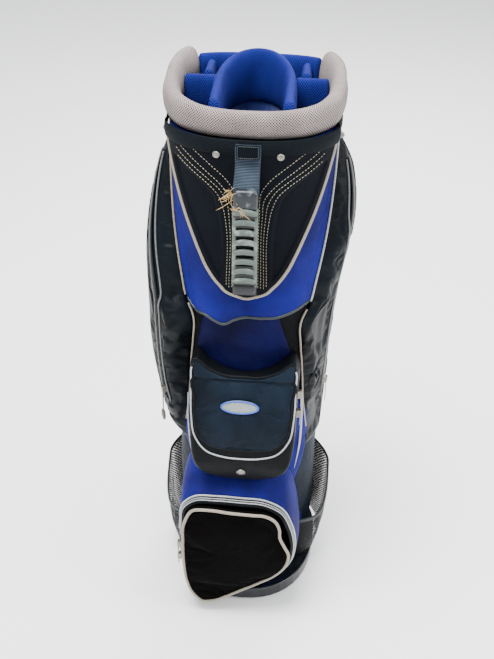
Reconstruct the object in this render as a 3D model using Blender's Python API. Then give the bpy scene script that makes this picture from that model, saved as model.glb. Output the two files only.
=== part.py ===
"""Golf staff bag: a stiff oval body on a moulded base, with a seven-way padded top,
a moulded front shield with a rigid grip, and zipped pockets on the front and sides.

Frame: +Z up, origin on the ground at the body's axis, the front of the bag faces -Y.
Left and right are those of a person who stands in front of the bag and looks at it.
"""

import math

import bmesh
import bpy
import numpy as np
from mathutils import Matrix, Vector

# ---------------------------------------------------------------- driving dimensions (metres)
GAP = 0.0005            # clearance between pieces that touch
BODY_HALF_WIDTH = 0.118
BODY_FRONT = 0.113      # from the axis to the front of the body
BODY_BACK = 0.100
FRONT_ROUNDNESS = 2.5   # superellipse powers of the front and back halves
BACK_ROUNDNESS = 3.6
WALL = 0.003            # body wall: sheet and fabric together
BODY_BOTTOM = 0.0065
BODY_TOP = 0.8445
CUFF_TOP = 0.868
RIM_FRONT = 0.905       # top of the collar at the front; it rises towards the back
RIM_SLOPE = 0.125
REAR_RAIL_TOP = 0.916
RAIL_WIDTH = 0.015      # padded rail on top of each divider
RAIL_BOTTOM = 0.8585
SHEET = 0.003           # full-length divider
BASE_TOP = 0.027
BASE_FLOOR = 0.006
STANDOFF = 0.0010       # offset of a curved panel's inner face from the body
SKIN = 0.0045           # offset of the fabric panels sewn on the front of the body
POCKET_BACK = 0.0050    # offset where a front pocket starts
SEAM = 0.003            # fabric margin between a front panel and a side pocket

ARCH_HALF_WIDTH = 0.052
ARCH_SHOULDER = -0.020
ARCH_APEX = 0.078
ARCH_FRONT = -0.0905
CROSS_Y = 0.022
REAR_DIVIDER_X = 0.072

# front seam between the blue panels and the side pockets: heights, and reach round the outline
SEAM_HEIGHTS = (0.160, 0.236, 0.300, 0.330, 0.400, 0.520, 0.600, 0.690, 0.820, 0.868)
SEAM_REACHES = (0.100, 0.094, 0.108, 0.112, 0.097, 0.087, 0.099, 0.128, 0.167, 0.178)

BLACK_FABRIC = ("black_polyester", (0.012, 0.016, 0.022), 0.75, 0.0)
BLUE_FABRIC = ("royal_blue_polyester", (0.012, 0.030, 0.230), 0.60, 0.0)
BLUE_MESH = ("blue_spacer_mesh", (0.030, 0.070, 0.380), 0.85, 0.0)
GREY_MESH = ("grey_spacer_mesh", (0.560, 0.520, 0.510), 0.85, 0.0)
MOULDED_FOAM = ("navy_moulded_foam", (0.006, 0.012, 0.024), 0.70, 0.0)
BLACK_PLASTIC = ("black_moulded_plastic", (0.015, 0.016, 0.018), 0.45, 0.0)
GREY_RUBBER = ("grey_moulded_rubber", (0.300, 0.330, 0.330), 0.50, 0.0)
WEBBING = ("navy_webbing", (0.016, 0.022, 0.036), 0.80, 0.0)
STEEL = ("zinc_plated_steel", (0.550, 0.540, 0.520), 0.35, 1.0)
FIBREGLASS = ("fibreglass_rod", (0.200, 0.200, 0.190), 0.50, 0.0)
LINING = ("navy_lining", (0.010, 0.018, 0.060), 0.85, 0.0)


# ---------------------------------------------------------------- body outline
def superellipse_quarter(half_width, depth, power, steps=241):
    """A quarter of the outline, from the end of the depth to the side."""
    turn = np.linspace(0.0, math.pi / 2, steps)
    return half_width * np.sin(turn) ** (2 / power), depth * np.cos(turn) ** (2 / power)


def half_outline():
    """The right half of the outline from front centre to back centre: length along it, points, normals."""
    front_x, front_y = superellipse_quarter(BODY_HALF_WIDTH, BODY_FRONT, FRONT_ROUNDNESS)
    back_x, back_y = superellipse_quarter(BODY_HALF_WIDTH, BODY_BACK, BACK_ROUNDNESS)
    x = np.concatenate([front_x, back_x[::-1][1:]])
    y = np.concatenate([-front_y, back_y[::-1][1:]])
    depth = np.where(y < 0, BODY_FRONT, BODY_BACK)
    power = np.where(y < 0, FRONT_ROUNDNESS, BACK_ROUNDNESS)
    normal = np.stack([
        x ** (power - 1) / BODY_HALF_WIDTH ** power,
        np.sign(y) * np.abs(y) ** (power - 1) / depth ** power,
    ], axis=1)
    normal /= np.linalg.norm(normal, axis=1)[:, None]
    along = np.concatenate([[0.0], np.cumsum(np.hypot(np.diff(x), np.diff(y)))])
    return along, np.stack([x, y], axis=1), normal


OUTLINE_ALONG, OUTLINE_POINTS, OUTLINE_NORMALS = half_outline()
HALF_GIRTH = float(OUTLINE_ALONG[-1])


def around(reach, offset):
    """The point (x, y) this far round the outline from the front centre, right positive, and this far off it."""
    reach = (reach + HALF_GIRTH) % (2 * HALF_GIRTH) - HALF_GIRTH
    side = -1.0 if reach < 0 else 1.0
    x, y = (np.interp(abs(reach), OUTLINE_ALONG, OUTLINE_POINTS[:, k]) for k in (0, 1))
    nx, ny = (np.interp(abs(reach), OUTLINE_ALONG, OUTLINE_NORMALS[:, k]) for k in (0, 1))
    return side * (x + offset * nx), y + offset * ny


def body_ring(offset, count):
    """Plan outline all round the body at an offset, as evenly spaced points."""
    return [around(-HALF_GIRTH + 2 * HALF_GIRTH * i / count, offset) for i in range(count)]


def outward(reach):
    """Unit normal of the outline there, as a vector."""
    inner, outer = Vector(around(reach, 0.0)), Vector(around(reach, 1.0))
    return (outer - inner).to_3d().normalized()


def seam_reach(z):
    return float(np.interp(z, SEAM_HEIGHTS, SEAM_REACHES))


def rim_height(y):
    """Height of the sloping rim above a point at this depth."""
    return RIM_FRONT + RIM_SLOPE * (y + BODY_FRONT)


# ---------------------------------------------------------------- building tools
def clear_scene():
    for old in list(bpy.data.objects):
        bpy.data.objects.remove(old)


def material(look):
    name, colour, roughness, metallic = look
    found = bpy.data.materials.get(name)
    if found:
        return found
    made = bpy.data.materials.new(name)
    made.use_nodes = True
    shader = made.node_tree.nodes["Principled BSDF"]
    shader.inputs["Base Color"].default_value = (*colour, 1.0)
    shader.inputs["Roughness"].default_value = roughness
    shader.inputs["Metallic"].default_value = metallic
    return made


def add_object(name, shape, look):
    """Links a bmesh as a named object, with its faces turned outwards and smooth shading off its sharp edges."""
    bmesh.ops.recalc_face_normals(shape, faces=shape.faces)
    mesh = bpy.data.meshes.new(name)
    shape.to_mesh(mesh)
    shape.free()
    mesh.shade_smooth()
    mesh.set_sharp_from_angle(angle=math.radians(35))
    made = bpy.data.objects.new(name, mesh)
    bpy.context.scene.collection.objects.link(made)
    mesh.materials.append(material(look))
    return made


def lofted(name, rings, look):
    """A closed solid through rings of equal count, capped at both ends."""
    shape = bmesh.new()
    rows = [[shape.verts.new(point) for point in ring] for ring in rings]
    count = len(rows[0])
    for lower, upper in zip(rows, rows[1:]):
        for i in range(count):
            j = (i + 1) % count
            shape.faces.new((lower[i], lower[j], upper[j], upper[i]))
    shape.faces.new(rows[0])
    shape.faces.new(rows[-1])
    return add_object(name, shape, look)


def upright(name, outline, bottom, top, look):
    """A prism that stands on a plan outline; its top is a height, or a function of y for a sloping one."""
    height = top if callable(top) else lambda y: top
    low = [(x, y, bottom) for x, y in outline]
    high = [(x, y, height(y)) for x, y in outline]
    return lofted(name, [low, high], look)


def facing(name, outline, back, front, look):
    """A prism seen from the front: its outline is (x, z), and its two faces lie at y values or functions of z."""
    back_y = back if callable(back) else lambda z: back
    front_y = front if callable(front) else lambda z: front
    return lofted(name, [[(x, back_y(z), z) for x, z in outline], [(x, front_y(z), z) for x, z in outline]], look)


def block(name, low, high, look):
    outline = [(low[0], low[1]), (high[0], low[1]), (high[0], high[1]), (low[0], high[1])]
    return upright(name, outline, low[2], high[2], look)


def band(reaches, inner, outer):
    """Plan outline of a band round the body between two offsets."""
    return [around(r, outer) for r in reaches] + [around(r, inner) for r in reversed(reaches)]


def wrapped(name, heights, edges, inner, outer, columns, look):
    """A panel wrapped round the body: row by row from edges(z)[0] to edges(z)[1] along the outline,
    between the offset inner and the offset outer(share, z), where share runs from 0 to 1 across it."""
    shape = bmesh.new()
    sheets = []
    for offset in (lambda share, z: inner, outer):
        rows = []
        for z in heights:
            start, end = edges(z)
            shares = [i / columns for i in range(columns + 1)]
            points = [(*around(start + (end - start) * share, offset(share, z)), z) for share in shares]
            rows.append([shape.verts.new(point) for point in points])
        sheets.append(rows)
    back, front = sheets
    for rows in sheets:
        for lower, upper in zip(rows, rows[1:]):
            for i in range(columns):
                shape.faces.new((lower[i], lower[i + 1], upper[i + 1], upper[i]))
    for a, b in zip((back[0], back[-1]), (front[0], front[-1])):
        for i in range(columns):
            shape.faces.new((a[i], a[i + 1], b[i + 1], b[i]))
    for side in (0, -1):
        for k in range(len(heights) - 1):
            shape.faces.new((back[k][side], back[k + 1][side], front[k + 1][side], front[k][side]))
    return add_object(name, shape, look)


def cutter_of(obj):
    obj.hide_render = True
    obj.display_type = "WIRE"
    return obj


def cut(obj, cutter):
    modifier = obj.modifiers.new("cut_" + cutter.name, "BOOLEAN")
    modifier.operation = "DIFFERENCE"
    modifier.object = cutter_of(cutter)


def tube(name, points, radius, look, closed=False, sides=2):
    """A round bar along points: a poly curve with a bevel and filled caps."""
    curve = bpy.data.curves.new(name, "CURVE")
    curve.dimensions = "3D"
    curve.bevel_depth = radius
    curve.bevel_resolution = sides
    curve.use_fill_caps = True
    spline = curve.splines.new("POLY")
    spline.points.add(len(points) - 1)
    for point, place in zip(spline.points, points):
        point.co = (*place, 1.0)
    spline.use_cyclic_u = closed
    made = bpy.data.objects.new(name, curve)
    bpy.context.scene.collection.objects.link(made)
    curve.materials.append(material(look))
    return made


def turn_about(obj, pivot):
    """Puts the object's origin on its joint's axis without moving its shape."""
    pivot = Vector(pivot)
    obj.data.transform(Matrix.Translation(-pivot))
    obj.location = pivot


def mirrored(half):
    return [(-x, z) for x, z in reversed(half)]


def spread(start, end, count):
    return [start + (end - start) * i / (count - 1) for i in range(count)]


def smooth_loop(points, steps):
    """A closed Catmull-Rom curve through points, with this many steps between neighbours."""
    loop = []
    count = len(points)
    for i in range(count):
        p0, p1, p2, p3 = (Vector(points[(i + k) % count]) for k in (-1, 0, 1, 2))
        for step in range(steps):
            t = step / steps
            loop.append(tuple(0.5 * (
                2 * p1 + (p2 - p0) * t + (2 * p0 - 5 * p1 + 4 * p2 - p3) * t * t
                + (3 * p1 - p0 - 3 * p2 + p3) * t ** 3
            )))
    return loop


# ---------------------------------------------------------------- base, body and stays
BASE_HALF_WIDTH = 0.128
BASE_FRONT = 0.168
BASE_BACK = 0.110
BASE_ROUNDNESS = 2.4
BASE_CHAMFER = 0.004    # at the foot
BASE_EDGE = 0.002       # at the top
BASE_POINTS = 48
SOCKET_POINTS = 56
ABOVE_BASE = 0.1        # any height above the base, where its cutter ends


def make_base():
    """Moulded dish with a ledge in front; the body stands in it."""

    def ring(inset, z):
        points = []
        for i in range(BASE_POINTS):
            turn = 2 * math.pi * i / BASE_POINTS
            c, s = math.cos(turn), math.sin(turn)
            depth = (BASE_BACK if s > 0 else BASE_FRONT) - inset
            x = math.copysign(abs(c) ** (2 / BASE_ROUNDNESS), c) * (BASE_HALF_WIDTH - inset)
            y = math.copysign(abs(s) ** (2 / BASE_ROUNDNESS), s) * depth
            points.append((x, y, z))
        return points

    base = lofted("base_tray", [ring(BASE_CHAMFER, 0.0), ring(0.0, BASE_CHAMFER), ring(0.0, BASE_TOP - BASE_EDGE),
                                ring(BASE_EDGE, BASE_TOP)], BLACK_PLASTIC)
    cut(base, upright("socket_cutter", body_ring(GAP, SOCKET_POINTS), BASE_FLOOR, ABOVE_BASE, BLACK_PLASTIC))


FRONT_STAY_REACH = 0.105
REAR_STAY_REACH = 0.275
STAY_RADIUS = 0.004


def make_shell():
    """Four wall panels that meet at the stays."""
    corner, rear = FRONT_STAY_REACH, REAR_STAY_REACH
    panels = {
        "shell_front": (-corner + GAP, corner - GAP, 15),
        "shell_right": (corner, rear - GAP, 13),
        "shell_back": (rear, 2 * HALF_GIRTH - rear, 17),
        "shell_left": (-rear + GAP, -corner, 13),
    }
    for name, (start, end, count) in panels.items():
        upright(name, band(spread(start, end, count), -WALL, 0.0), BODY_BOTTOM, BODY_TOP, LINING)
    rod_offset = -WALL - GAP - STAY_RADIUS
    for name, reach in (("front_left", -corner), ("front_right", corner), ("rear_left", -rear), ("rear_right", rear)):
        x, y = around(reach, rod_offset)
        tube("stay_rod_" + name, [(x, y, BODY_BOTTOM), (x, y, BODY_TOP)], STAY_RADIUS, FIBREGLASS)


CUFF_WALL = 0.004
CUFF_POINTS = 48
PAD_INSIDE = -0.012     # the padded rim, inside and outside the body's outline
PAD_OUTSIDE = 0.013
REAR_PAD_OUTSIDE = 0.006
COLLAR_END = 0.282      # reach of the collar's two back ends
COLLAR_END_DROP = 0.004
COLLAR_END_Y = 0.09


def make_top():
    """Rigid cuff, the padded collar round the front and sides, and the padded rear rail."""
    cuff = upright("top_cuff", body_ring(0.0, CUFF_POINTS), BODY_TOP + GAP, CUFF_TOP, BLACK_PLASTIC)
    room = body_ring(-CUFF_WALL, CUFF_POINTS)
    cut(cuff, upright("cuff_cutter", room, BODY_TOP - CUFF_WALL, CUFF_TOP + CUFF_WALL, BLACK_PLASTIC))

    def collar_top(y):
        return rim_height(y) - (COLLAR_END_DROP if y > COLLAR_END_Y else 0.0)

    reaches = spread(-COLLAR_END, COLLAR_END, 41)
    upright("collar_pad", band(reaches, PAD_INSIDE, PAD_OUTSIDE), CUFF_TOP + GAP, collar_top, GREY_MESH)
    start = COLLAR_END + 2 * GAP
    rear_reaches = spread(start, 2 * HALF_GIRTH - start, 13)
    rear_band = band(rear_reaches, PAD_INSIDE, REAR_PAD_OUTSIDE)
    upright("rear_rail_pad", rear_band, CUFF_TOP + GAP, REAR_RAIL_TOP, BLUE_MESH)


def arch_line(half_width, apex, count=17):
    """Centreline of the central well: straight sides, then half an ellipse towards the back."""
    turn = spread(0.0, math.pi, count)
    rise = apex - ARCH_SHOULDER
    return [(half_width * math.cos(t), ARCH_SHOULDER + rise * math.sin(t)) for t in turn]


def arch_outline(thickness, front):
    """Plan outline of a wall of this thickness along the arch, open at the front."""
    outer = arch_line(ARCH_HALF_WIDTH + thickness / 2, ARCH_APEX + thickness / 2)
    inner = arch_line(ARCH_HALF_WIDTH - thickness / 2, ARCH_APEX - thickness / 2)
    outside = [(outer[0][0], front)] + outer + [(outer[-1][0], front)]
    inside = [(inner[0][0], front)] + inner + [(inner[-1][0], front)]
    return outside + inside[::-1]


def arch_reach(y):
    """Half width of the arch's centreline at this depth."""
    share = max(0.0, (y - ARCH_SHOULDER) / (ARCH_APEX - ARCH_SHOULDER))
    return ARCH_HALF_WIDTH * math.sqrt(1 - share * share)


WELL_WALL_FRONT = ARCH_FRONT - 0.011
DIVIDER_GAP = 0.0015    # sewing margin where a cross divider meets the central well
CROSS_WALL_END = 0.1132
CROSS_RAIL_END = 0.1048
CROSS_RAIL_TOP = 0.905
REAR_WALL_END = 0.0890
REAR_RAIL_END = 0.0775
REAR_RAIL_HEIGHT = 0.910


def make_dividers():
    """Full-length lining walls, and a padded rail on top of each."""
    upright("central_well_wall", arch_outline(SHEET, WELL_WALL_FRONT), BODY_BOTTOM, RAIL_BOTTOM - GAP, LINING)
    upright("central_well_rail", arch_outline(RAIL_WIDTH, ARCH_FRONT), RAIL_BOTTOM, rim_height, BLUE_MESH)
    wall_in = arch_reach(CROSS_Y) + SHEET / 2 + DIVIDER_GAP
    rail_in = arch_reach(CROSS_Y - RAIL_WIDTH / 2) + RAIL_WIDTH / 2 + DIVIDER_GAP
    half_rail = RAIL_WIDTH / 2
    for side, word in ((-1, "left"), (1, "right")):
        def slab(name, x0, x1, y0, y1, bottom, top, look):
            low_x, high_x = sorted((side * x0, side * x1))
            block(f"{name}_{word}", (low_x, y0, bottom), (high_x, y1, top), look)

        slab("cross_wall", wall_in, CROSS_WALL_END, CROSS_Y - SHEET / 2, CROSS_Y + SHEET / 2,
             BODY_BOTTOM, RAIL_BOTTOM - GAP, LINING)
        slab("cross_rail", rail_in, CROSS_RAIL_END, CROSS_Y - half_rail, CROSS_Y + half_rail,
             RAIL_BOTTOM, CROSS_RAIL_TOP, BLUE_MESH)
        slab("rear_wall", REAR_DIVIDER_X - SHEET / 2, REAR_DIVIDER_X + SHEET / 2,
             CROSS_Y + SHEET / 2 + GAP, REAR_WALL_END, BODY_BOTTOM, RAIL_BOTTOM - GAP, LINING)
        slab("rear_rail", REAR_DIVIDER_X - half_rail, REAR_DIVIDER_X + half_rail,
             CROSS_Y + half_rail + GAP, REAR_RAIL_END, RAIL_BOTTOM, REAR_RAIL_HEIGHT, BLUE_MESH)


# ---------------------------------------------------------------- front panels and grip
SHIELD_TOP = 0.862
SHIELD_BOTTOM = 0.622
YOKE_FACE = 0.0075
SHIELD_BACK = 0.0088
SHIELD_FACE = 0.0160
SHIELD_TIP = 0.004      # half reach at its lowest point
SHIELD_SPREAD = 0.142
YOKE_HEIGHTS = (0.585, 0.600, 0.640, 0.690, 0.740, 0.780, 0.820, 0.8675)
WAIST_HEIGHTS = (0.405, 0.460, 0.520, 0.5845)
LOWER_HEIGHTS = (0.160, 0.236, 0.300, 0.330, 0.4045)


def shield_half_reach(z):
    """Half the shield's girth at a height: wide at the top, closing to a round point."""
    share = (z - SHIELD_BOTTOM) / (SHIELD_TOP - SHIELD_BOTTOM)
    return SHIELD_TIP + SHIELD_SPREAD * math.sqrt(share) * (0.80 + 0.20 * share)


def seam_to_seam(z):
    return -seam_reach(z), seam_reach(z)


def make_front_panels():
    """Blue yoke under the collar, the moulded shield on it, and the blue panels behind the pockets."""
    wrapped("yoke_panel", YOKE_HEIGHTS, seam_to_seam, STANDOFF, lambda share, z: YOKE_FACE, 22, BLUE_FABRIC)
    shield_heights = [SHIELD_BOTTOM + (SHIELD_TOP - SHIELD_BOTTOM) * (i / 12) ** 1.6 for i in range(13)]
    wrapped("shield_panel", shield_heights, lambda z: (-shield_half_reach(z), shield_half_reach(z)),
            SHIELD_BACK, lambda share, z: SHIELD_FACE, 18, MOULDED_FOAM)
    for name, heights in (("waist_panel", WAIST_HEIGHTS), ("lower_panel", LOWER_HEIGHTS)):
        wrapped(name, heights, seam_to_seam, STANDOFF, lambda share, z: SKIN, 16, BLUE_FABRIC)


GRIP_TOP = 0.815
GRIP_BOTTOM = 0.640
GRIP_HALF = 0.0165      # half width of the grip
GRIP_GAP = 0.022        # finger room behind it
GRIP_THICK = 0.013
GRIP_FOOT = 0.022       # height of each foot
GRIP_SLANT = 0.010
SLEEVE_BOTTOM = 0.668
SLEEVE_TOP = 0.780
SLEEVE_THICK = 0.0045
SLEEVE_MARGIN = 0.004
SLOT_HALF = 0.0125
SLOTS = 8
STRAP_HALF = 0.017
STRAP_THICK = 0.003
STRAP_HEIGHTS = (0.818, 0.840, 0.8675)
SHIELD_Y = -(BODY_FRONT + SHIELD_FACE)


def make_grip():
    """Rigid grip on two feet, its slotted grey sleeve, and the webbing that ties it to the collar."""
    back = SHIELD_Y - GAP
    gap_y = back - GRIP_GAP
    face = gap_y - GRIP_THICK
    foot, slant = GRIP_FOOT, GRIP_SLANT
    side_view = [(back, GRIP_TOP), (back, GRIP_TOP - foot), (gap_y, GRIP_TOP - foot - slant),
                 (gap_y, GRIP_BOTTOM + foot + slant), (back, GRIP_BOTTOM + foot), (back, GRIP_BOTTOM),
                 (gap_y, GRIP_BOTTOM), (face, GRIP_BOTTOM + slant), (face, GRIP_TOP - slant), (gap_y, GRIP_TOP)]
    lofted("grip_bar", [[(-GRIP_HALF, y, z) for y, z in side_view], [(GRIP_HALF, y, z) for y, z in side_view]],
           BLACK_PLASTIC)
    sleeve_face = face - SLEEVE_THICK
    sleeve = block("grip_sleeve", (-GRIP_HALF, sleeve_face, SLEEVE_BOTTOM), (GRIP_HALF, face - GAP, SLEEVE_TOP),
                   GREY_RUBBER)
    pitch = (SLEEVE_TOP - SLEEVE_BOTTOM - SLEEVE_MARGIN) / SLOTS
    for i in range(SLOTS):
        low = SLEEVE_BOTTOM + SLEEVE_MARGIN + pitch * i
        cut(sleeve, block(f"slot_cutter_{i}", (-SLOT_HALF, face - GRIP_THICK, low),
                          (SLOT_HALF, face + GRIP_THICK, low + pitch / 2), GREY_RUBBER))
    wrapped("grip_strap", STRAP_HEIGHTS, lambda z: (-STRAP_HALF, STRAP_HALF), SHIELD_FACE + GAP,
            lambda share, z: SHIELD_FACE + STRAP_THICK, 4, WEBBING)


def make_rivets():
    """Domed rivets through the cuff: two on the shield and a stud on each side of the collar.
    For each: reach, height, offset, radius and how far it stands out."""
    places = {
        "front_rivet_left": (-0.041, 0.848, SHIELD_FACE, 0.0055, 0.0025),
        "front_rivet_right": (0.041, 0.848, SHIELD_FACE, 0.0055, 0.0025),
        "side_stud_left": (-0.158, 0.846, 0.0075, 0.005, 0.0075),
        "side_stud_right": (0.158, 0.846, 0.0075, 0.005, 0.0075),
    }
    for name, (reach, z, offset, radius, height) in places.items():
        place = Vector((*around(reach, offset + GAP), z))
        normal = outward(reach)
        flat = normal.cross(Vector((0, 0, 1)))
        profile = ((radius * 0.9, 0.0), (radius, height * 0.35), (radius * 0.8, height * 0.8), (radius * 0.3, height))
        rings = []
        for r, h in profile:
            turns = [2 * math.pi * i / 12 for i in range(12)]
            rings.append([place + normal * h + flat * r * math.cos(t) + Vector((0, 0, r * math.sin(t)))
                          for t in turns])
        lofted(name, rings, STEEL)


# ---------------------------------------------------------------- zip sliders
SLIDER_EAR = 0.0072     # how far the slider's ears stand off its track
PULL_AXIS = 0.0058      # where the pull turns, off the track
PULL_HALF = 0.0022
SLIDER_HALF = 0.0045
SLIDER_DEEP = 0.004
SLIDER_HALF_LENGTH = 0.006
EAR_OUTSIDE = 0.0036
EAR_INSIDE = 0.0026
PULL_EYE = 0.0013       # radius of the pull's hooked eye
PULL_HALF_PLATE = 0.0006


def zip_slider(name, place, up_track, normal, pull_length):
    """A slider on its track and the pull that swings between its ears; each has its origin on its own axis."""
    up_track, normal = Vector(up_track).normalized(), Vector(normal).normalized()
    across = up_track.cross(normal)
    frame = Matrix((across, -normal, up_track)).transposed().to_4x4()
    frame.translation = Vector(place)
    half = [(SLIDER_HALF, 0), (SLIDER_HALF, -SLIDER_DEEP), (EAR_OUTSIDE, -SLIDER_DEEP), (EAR_OUTSIDE, -SLIDER_EAR),
            (EAR_INSIDE, -SLIDER_EAR), (EAR_INSIDE, -SLIDER_DEEP)]
    section = half + mirrored(half)
    slider = upright(name + "_slider", section, -SLIDER_HALF_LENGTH, SLIDER_HALF_LENGTH, STEEL)
    slider.matrix_world = frame
    turns = [math.radians(a) for a in range(-60, 241, 30)]
    profile = [(PULL_EYE * math.cos(t), PULL_EYE * math.sin(t)) for t in turns]
    profile += [(-PULL_HALF_PLATE, -pull_length), (PULL_HALF_PLATE, -pull_length)]
    pull = lofted(name + "_pull", [[(-PULL_HALF, y, z) for y, z in profile],
                                   [(PULL_HALF, y, z) for y, z in profile]], STEEL)
    hang = (Vector((0, 0, 1)) - across * across.z).normalized()
    hung = Matrix((across, hang.cross(across), hang)).transposed().to_4x4()
    hung.translation = Vector(place) + normal * PULL_AXIS
    pull.matrix_world = hung


# ---------------------------------------------------------------- middle pocket
POCKET_TOP = 0.515
PLANE_TOP_Y = -0.143    # the plane of the sloping mouth, at the pocket's top
PLANE_SLOPE = 0.223
BELLY_Y = -0.183
BELLY_BOTTOM = 0.325    # below this the belly tucks in again
BELLY_SLOPE = 0.45
POCKET_HALF = ((0.078, 0.515), (0.084, 0.490), (0.084, 0.372), (0.078, 0.335), (0.062, 0.308), (0.035, 0.294))
POCKET_DIP = ((-0.055, 0.499), (-0.028, 0.487), (0.0, 0.483), (0.028, 0.487), (0.055, 0.499))
MOUTH = ((-0.066, 0.474), (-0.066, 0.400), (-0.050, 0.378), (0.050, 0.378), (0.066, 0.400), (0.066, 0.474))
WELL = ((-0.052, 0.385), (-0.052, 0.325), (-0.030, 0.312), (0.030, 0.312), (0.052, 0.325), (0.052, 0.385))
INSIDE_Y = -0.124
WELL_FRONT_Y = -0.168
FLAP_TOP = 0.4865
FLAP_HALF = ((0.0775, 0.4865), (0.0765, 0.420), (0.070, 0.390), (0.052, 0.372), (0.028, 0.367))
FLAP_EDGE = 0.003       # thickness at the hinge
FLAP_SWELL = 0.006      # added to it lower down
FLAP_RISE = 0.06
FLAP_ZIP_X = 0.0847
FLAP_ZIP_HEIGHTS = {"upper": 0.462, "lower": 0.430}
FLAP_PULL = 0.020
TRACK_DEPTH = 0.007     # how far a zip's track lies behind its pocket's face
BODY_INSIDE_Y = -0.06   # somewhere inside the body, where the pockets' blanks start
BEYOND_Y = -0.25        # somewhere in front of the bag, where their cutters end
RING_POINTS = 64


def flap_plane(z):
    """Depth of the middle pocket's sloping mouth at a height."""
    return PLANE_TOP_Y - (POCKET_TOP - z) * PLANE_SLOPE


def flap_back(z):
    return flap_plane(z) - GAP


def flap_front(z):
    return flap_back(z) - FLAP_EDGE - FLAP_SWELL * min(1.0, (FLAP_TOP - z) / FLAP_RISE)


def pocket_face(z):
    """Depth of the middle pocket's face: the mouth's plane, but no further out than the belly."""
    belly = BELLY_Y + max(0.0, BELLY_BOTTOM - z) * BELLY_SLOPE
    return max(flap_plane(z), belly)


def make_middle_pocket():
    """Box pocket with a sloping mouth, and the padded flap that closes it, hinged along its top edge."""
    outline = list(POCKET_DIP) + list(POCKET_HALF) + mirrored(POCKET_HALF)
    body = facing("middle_pocket_body", outline, BODY_INSIDE_Y, pocket_face, BLACK_FABRIC)
    cut(body, upright("middle_back_cutter", body_ring(POCKET_BACK, RING_POINTS), 0.25, 0.55, BLACK_FABRIC))
    cut(body, facing("mouth_cutter", MOUTH, INSIDE_Y, BEYOND_Y, BLACK_FABRIC))
    cut(body, facing("well_cutter", WELL, INSIDE_Y, WELL_FRONT_Y, BLACK_FABRIC))
    flap = facing("middle_pocket_flap", list(FLAP_HALF) + mirrored(FLAP_HALF), flap_back, flap_front, BLACK_FABRIC)
    turn_about(flap, (0.0, flap_back(FLAP_TOP) - FLAP_EDGE / 2, FLAP_TOP))
    for word, z in FLAP_ZIP_HEIGHTS.items():
        place = (FLAP_ZIP_X, flap_plane(z) + TRACK_DEPTH, z)
        zip_slider("middle_zip_" + word, place, (0.0, PLANE_SLOPE, 1.0), (1, 0, 0), FLAP_PULL)


# ---------------------------------------------------------------- lower (ball) pocket
BALL_SEAM_Y = -0.190    # where the zip joins the front of the ball pocket to its gusset
BALL_FACE_Y = -0.208
BALL_HINGE_Z = 0.021
BALL_CENTRE = (-0.005, 0.140)
GUSSET_CORNER = (-0.098, 0.030)     # the gusset is the outline grown from here
GUSSET_SCALE = 1.06
ROOM_SCALE = 0.94
FRONT_SCALE = 0.99
FACE_SCALE = 0.90
FRONT_EDGE = 0.009      # how deep the front's side runs before its face curves over
BALL_ZIP_X = -0.1005
BALL_ZIP_HEIGHTS = {"upper": 0.150, "lower": 0.121}
BALL_PULL = 0.018
BALL_OUTLINE = [
    (-0.076, 0.250), (-0.018, 0.254), (0.040, 0.252), (0.070, 0.226), (0.086, 0.165), (0.083, 0.118), (0.045, 0.084),
    (0.000, 0.054), (-0.040, 0.026), (-0.062, 0.021), (-0.086, 0.046), (-0.098, 0.105), (-0.098, 0.210),
]


def scaled(outline, centre, factor):
    return [(centre[0] + (x - centre[0]) * factor, centre[1] + (z - centre[1]) * factor) for x, z in outline]


def make_ball_pocket():
    """Gusset round the ball pocket, and its padded front, hinged along its lowest edge."""
    outline = smooth_loop(BALL_OUTLINE, 4)
    clear_of_base = BASE_TOP + 3 * GAP
    gusset = [(x, max(z, clear_of_base)) for x, z in scaled(outline, GUSSET_CORNER, GUSSET_SCALE)]
    body = facing("ball_pocket_body", gusset, -0.05, BALL_SEAM_Y, BLACK_FABRIC)
    cut(body, upright("ball_back_cutter", body_ring(POCKET_BACK, RING_POINTS), 0.0, 0.3, BLACK_FABRIC))
    cut(body, facing("ball_room_cutter", scaled(gusset, BALL_CENTRE, ROOM_SCALE), -0.02, BEYOND_Y, BLACK_FABRIC))
    side = scaled(outline, BALL_CENTRE, FRONT_SCALE)
    back_ring = [(x, BALL_SEAM_Y - GAP, z) for x, z in side]
    mid_ring = [(x, BALL_SEAM_Y - FRONT_EDGE, z) for x, z in side]
    face_ring = [(x, BALL_FACE_Y, z) for x, z in scaled(outline, BALL_CENTRE, FACE_SCALE)]
    front = lofted("ball_pocket_front", [back_ring, mid_ring, face_ring], BLACK_FABRIC)
    turn_about(front, (0.0, BALL_SEAM_Y - GAP, BALL_HINGE_Z))
    for word, z in BALL_ZIP_HEIGHTS.items():
        zip_slider("ball_zip_" + word, (BALL_ZIP_X, BALL_SEAM_Y + TRACK_DEPTH, z), (0, 0, 1), (-1, 0, 0), BALL_PULL)


# ---------------------------------------------------------------- side pockets
GARMENT_HEIGHTS = (0.300, 0.330, 0.400, 0.605, 0.660, 0.720, 0.780, 0.830, 0.855)
GARMENT_DEPTHS = {      # the left pocket is the fuller one
    "left": (0.004, 0.027, 0.033, 0.043, 0.042, 0.036, 0.025, 0.010, 0.003),
    "right": (0.003, 0.004, 0.008, 0.022, 0.030, 0.036, 0.029, 0.012, 0.003),
}
GARMENT_REAR = 0.262
ZIP_REACHES = {"left": 0.120, "right": 0.158}
GARMENT_FLANK = 0.016   # width over which the bulge rises from a seam
GARMENT_EDGE = 0.003    # offset of its outer face at the seams
GARMENT_PULL = 0.045
ZIP_START = 0.010       # from the zip's lower end to its slider
TRACK_STANDOFF = 0.0012


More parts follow.
